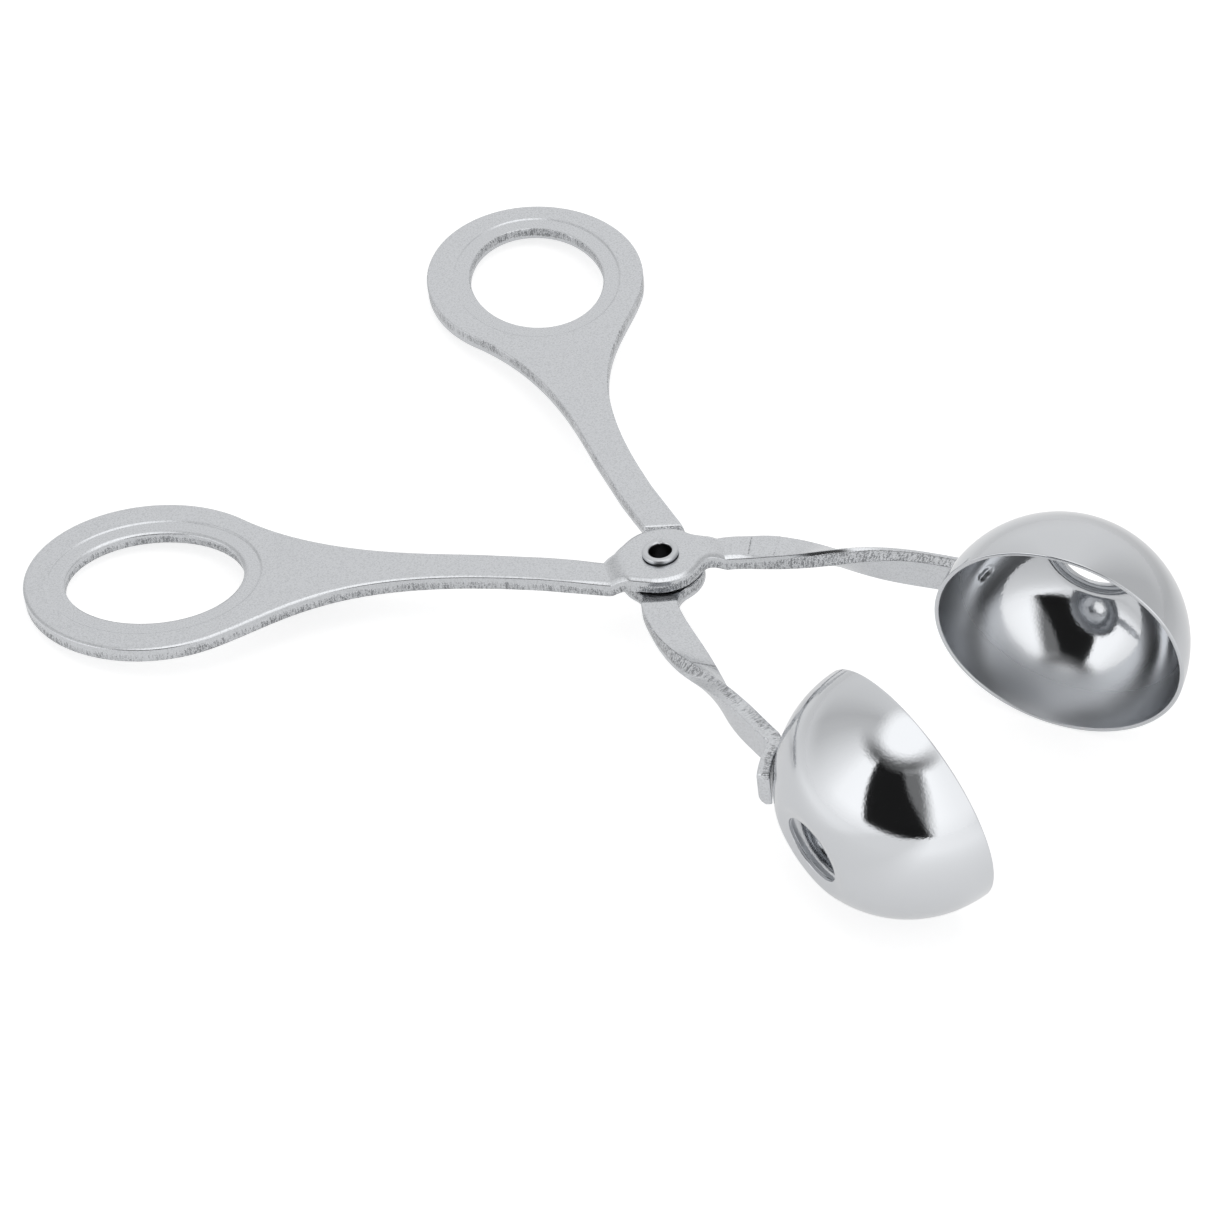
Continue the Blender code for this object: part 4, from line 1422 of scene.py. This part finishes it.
def bearing_of(tree, way):
    """Bearing in degrees of a direction or a place, and its height."""
    turned = add_node(
        tree, "VectorRotate", {"Vector": way, "Angle": math.radians(OPENING_AZIMUTH)},
        rotation_type="Z_AXIS",
    )
    parts = add_node(tree, "SeparateXYZ", {"Vector": turned})
    bearing = add_node(tree, "Math", (parts.outputs["X"], parts.outputs["Y"]), operation="ARCTAN2")
    return add_node(tree, "Math", (bearing,), operation="DEGREES"), parts.outputs["Z"]


def light_by_bearing(tree, bearing, stops):
    """Share of light by bearing, on a ramp that runs once round the tent, from -180 to 180 degrees."""
    turn = add_node(tree, "Math", (bearing, 1 / 360, 0.5), operation="MULTIPLY_ADD")
    node = add_node(tree, "ValToRGB", {"Fac": turn})
    elements = node.color_ramp.elements
    elements.remove(elements[0])
    elements[0].position = stops[0][0] / 360 + 0.5
    for number, (stop, share) in enumerate(stops):
        element = elements.new(stop / 360 + 0.5) if number else elements[0]
        element.color = (share, share, share, 1)
    return node


def white_paper_floor(colour):
    """Matt white paper, lit past white by its own glow for the eye and for mirrors.

    The glow hides the paper's grey and leaves a faint shadow under the tongs. In mirrors the far floor
    takes on the light of the wall behind it.
    """
    material = bpy.data.materials.new("white_paper_floor")
    material.use_nodes = True
    tree = material.node_tree
    tree.nodes.clear()
    rays = add_node(tree, "LightPath").outputs
    seen = add_node(tree, "Math", (rays["Is Camera Ray"], rays["Is Glossy Ray"]), operation="MAXIMUM")
    seen = add_node(tree, "Math", (seen, rays["Is Transmission Ray"]), operation="MAXIMUM")
    place = add_node(tree, "NewGeometry").outputs["Position"]
    reach = add_node(tree, "VectorMath", (place,), operation="LENGTH")
    bearing, _ = bearing_of(tree, place)
    wall = light_by_bearing(tree, bearing, FLOOR_STOPS)
    wall = add_node(tree, "Math", (wall, FLOOR_PLAIN_SHARE), operation="SUBTRACT")
    far = add_node(
        tree, "MapRange",
        {"Value": reach, "From Min": FLOOR_FADE[0], "From Max": FLOOR_FADE[1], "To Max": 2},
        interpolation_type="SMOOTHSTEP",
    )
    mirrored = add_node(tree, "Math", (wall, far, -FLOOR_MIRROR_LOSS), operation="MULTIPLY_ADD")
    mirrored = add_node(tree, "Math", (mirrored, rays["Is Glossy Ray"]), operation="MULTIPLY")
    glow = add_node(tree, "Math", (seen, FLOOR_GLOW, mirrored), operation="MULTIPLY_ADD")
    glow = add_node(tree, "Emission", {"Strength": glow})
    matt = add_node(tree, "BsdfDiffuse", {"Color": (*colour, 1)})
    both = add_node(tree, "AddShader", (matt, glow))
    add_node(tree, "OutputMaterial", {"Surface": both})
    return material


def light_tent(strength):
    """World light: a cloth tent with a bright wall on each side of a dark opening for the camera.

    Below the horizon it goes on as bright as the lit paper, and the camera sees it plain white.
    """
    world = bpy.data.worlds.new("light_tent")
    world.use_nodes = True
    tree = world.node_tree
    tree.nodes.clear()
    bearing, height = bearing_of(tree, add_node(tree, "TexCoord").outputs["Generated"])
    height = add_node(tree, "Math", (height,), operation="ARCSINE")
    elevation = add_node(tree, "Math", (height,), operation="DEGREES")
    lit_paper = FLOOR_GLOW - FLOOR_MIRROR_LOSS + FLOOR_DAYLIGHT
    floor = light_by_bearing(tree, bearing, FLOOR_STOPS)
    floor = add_node(tree, "Math", (floor, 2, lit_paper - 1), operation="MULTIPLY_ADD")
    light = add_node(tree, "Math", (floor, strength), operation="DIVIDE")
    for (start, end), above in (
        (WALL_FOOT, light_by_bearing(tree, bearing, WALL_STOPS)), (ROOF_EDGE, ROOF_SHARE),
    ):
        share = add_node(
            tree, "MapRange", {"Value": elevation, "From Min": start, "From Max": end},
            interpolation_type="SMOOTHSTEP",
        )
        light = add_node(tree, "Mix", {"Factor": share, "A": light, "B": above})

    angles = add_node(tree, "CombineXYZ", (bearing, elevation))
    for depth, edges in (DARK_BAND, DARK_FLAP, DARK_OPENING):
        shade = depth
        for bearing_share, elevation_share, start, end in edges:
            lean = add_node(
                tree, "VectorMath", (angles, (bearing_share, elevation_share, 0)), operation="DOT_PRODUCT"
            )
            edge = add_node(
                tree, "MapRange", {"Value": lean, "From Min": start, "From Max": end},
                interpolation_type="SMOOTHSTEP",
            )
            shade = add_node(tree, "Math", (edge, shade), operation="MULTIPLY")
        shade = add_node(tree, "Math", (1, shade), operation="SUBTRACT")
        light = add_node(tree, "Math", (light, shade), operation="MULTIPLY")
    light = add_node(tree, "Math", (light, strength), operation="MULTIPLY")

    rays = add_node(tree, "LightPath").outputs
    tent = add_node(tree, "Background", {"Color": (1, 1, 1, 1), "Strength": light})
    white = add_node(tree, "Background", {"Color": (1, 1, 1, 1), "Strength": 1})
    both = add_node(tree, "MixShader", (rays["Is Camera Ray"], tent, white))
    add_node(tree, "OutputWorld", {"Surface": both})
    return world


class TONGS_OT_studio(bpy.types.Operator):
    """Set up the floor, the light tent and the camera"""

    bl_idname = "tongs.studio"
    bl_label = "Set Up Studio"

    def execute(self, context):
        studio = context.scene.tongs_studio
        scene = context.scene
        scene.world = light_tent(studio.tent_strength)
        scene.view_settings.view_transform = "Standard"

        half = studio.floor_size / 2
        mesh = bpy.data.meshes.new("floor")
        corners = [(-half, -half, 0), (half, -half, 0), (half, half, 0), (-half, half, 0)]
        mesh.from_pydata(corners, [], [(0, 1, 2, 3)])
        mesh.materials.append(white_paper_floor(studio.floor_colour))
        floor = bpy.data.objects.new("floor", mesh)
        scene.collection.objects.link(floor)

        lens = bpy.data.cameras.new("camera")
        lens.sensor_width = SENSOR_WIDTH
        lens.lens = studio.lens
        camera = bpy.data.objects.new("camera", lens)
        scene.collection.objects.link(camera)
        level = math.cos(studio.elevation)
        back = Vector((
            math.sin(studio.azimuth) * level, -math.cos(studio.azimuth) * level, math.sin(studio.elevation)
        ))
        camera.location = Vector(studio.aim) + back * studio.distance
        camera.rotation_mode = "QUATERNION"
        camera.rotation_quaternion = (
            (-back).to_track_quat("-Z", "Y") @ Quaternion((0, 0, 1), studio.roll)
        )
        scene.camera = camera
        return {"FINISHED"}


class TONGS_PT_panel(bpy.types.Panel):
    """Steps that build the tongs and their studio"""

    bl_label = "Meatball Tongs"
    bl_idname = "TONGS_PT_panel"
    bl_space_type = "VIEW_3D"
    bl_region_type = "UI"
    bl_category = "Tongs"

    def draw(self, context):
        for group in ("tongs_arm", "tongs_bowl", "tongs_finish", "tongs_studio"):
            box = self.layout.box()
            settings = getattr(context.scene, group)
            for name in settings.__annotations__:
                box.prop(settings, name)
        for operator in (TONGS_OT_arms, TONGS_OT_bowls, TONGS_OT_rivet, TONGS_OT_studio):
            self.layout.operator(operator.bl_idname)


CLASSES = (
    ArmDetail, BowlDetail, Finish, Studio,
    TONGS_OT_arms, TONGS_OT_bowls, TONGS_OT_rivet, TONGS_OT_studio, TONGS_PT_panel,
)


def register():
    for cls in CLASSES:
        bpy.utils.register_class(cls)
    bpy.types.Scene.tongs_arm = PointerProperty(type=ArmDetail)
    bpy.types.Scene.tongs_bowl = PointerProperty(type=BowlDetail)
    bpy.types.Scene.tongs_finish = PointerProperty(type=Finish)
    bpy.types.Scene.tongs_studio = PointerProperty(type=Studio)


def unregister():
    for name in ("tongs_arm", "tongs_bowl", "tongs_finish", "tongs_studio"):
        delattr(bpy.types.Scene, name)
    for cls in reversed(CLASSES):
        bpy.utils.unregister_class(cls)


def main():
    register()
    bpy.ops.tongs.arms()
    bpy.ops.tongs.bowls()
    bpy.ops.tongs.rivet()
    bpy.ops.tongs.studio()


if __name__ == "__main__":
    main()
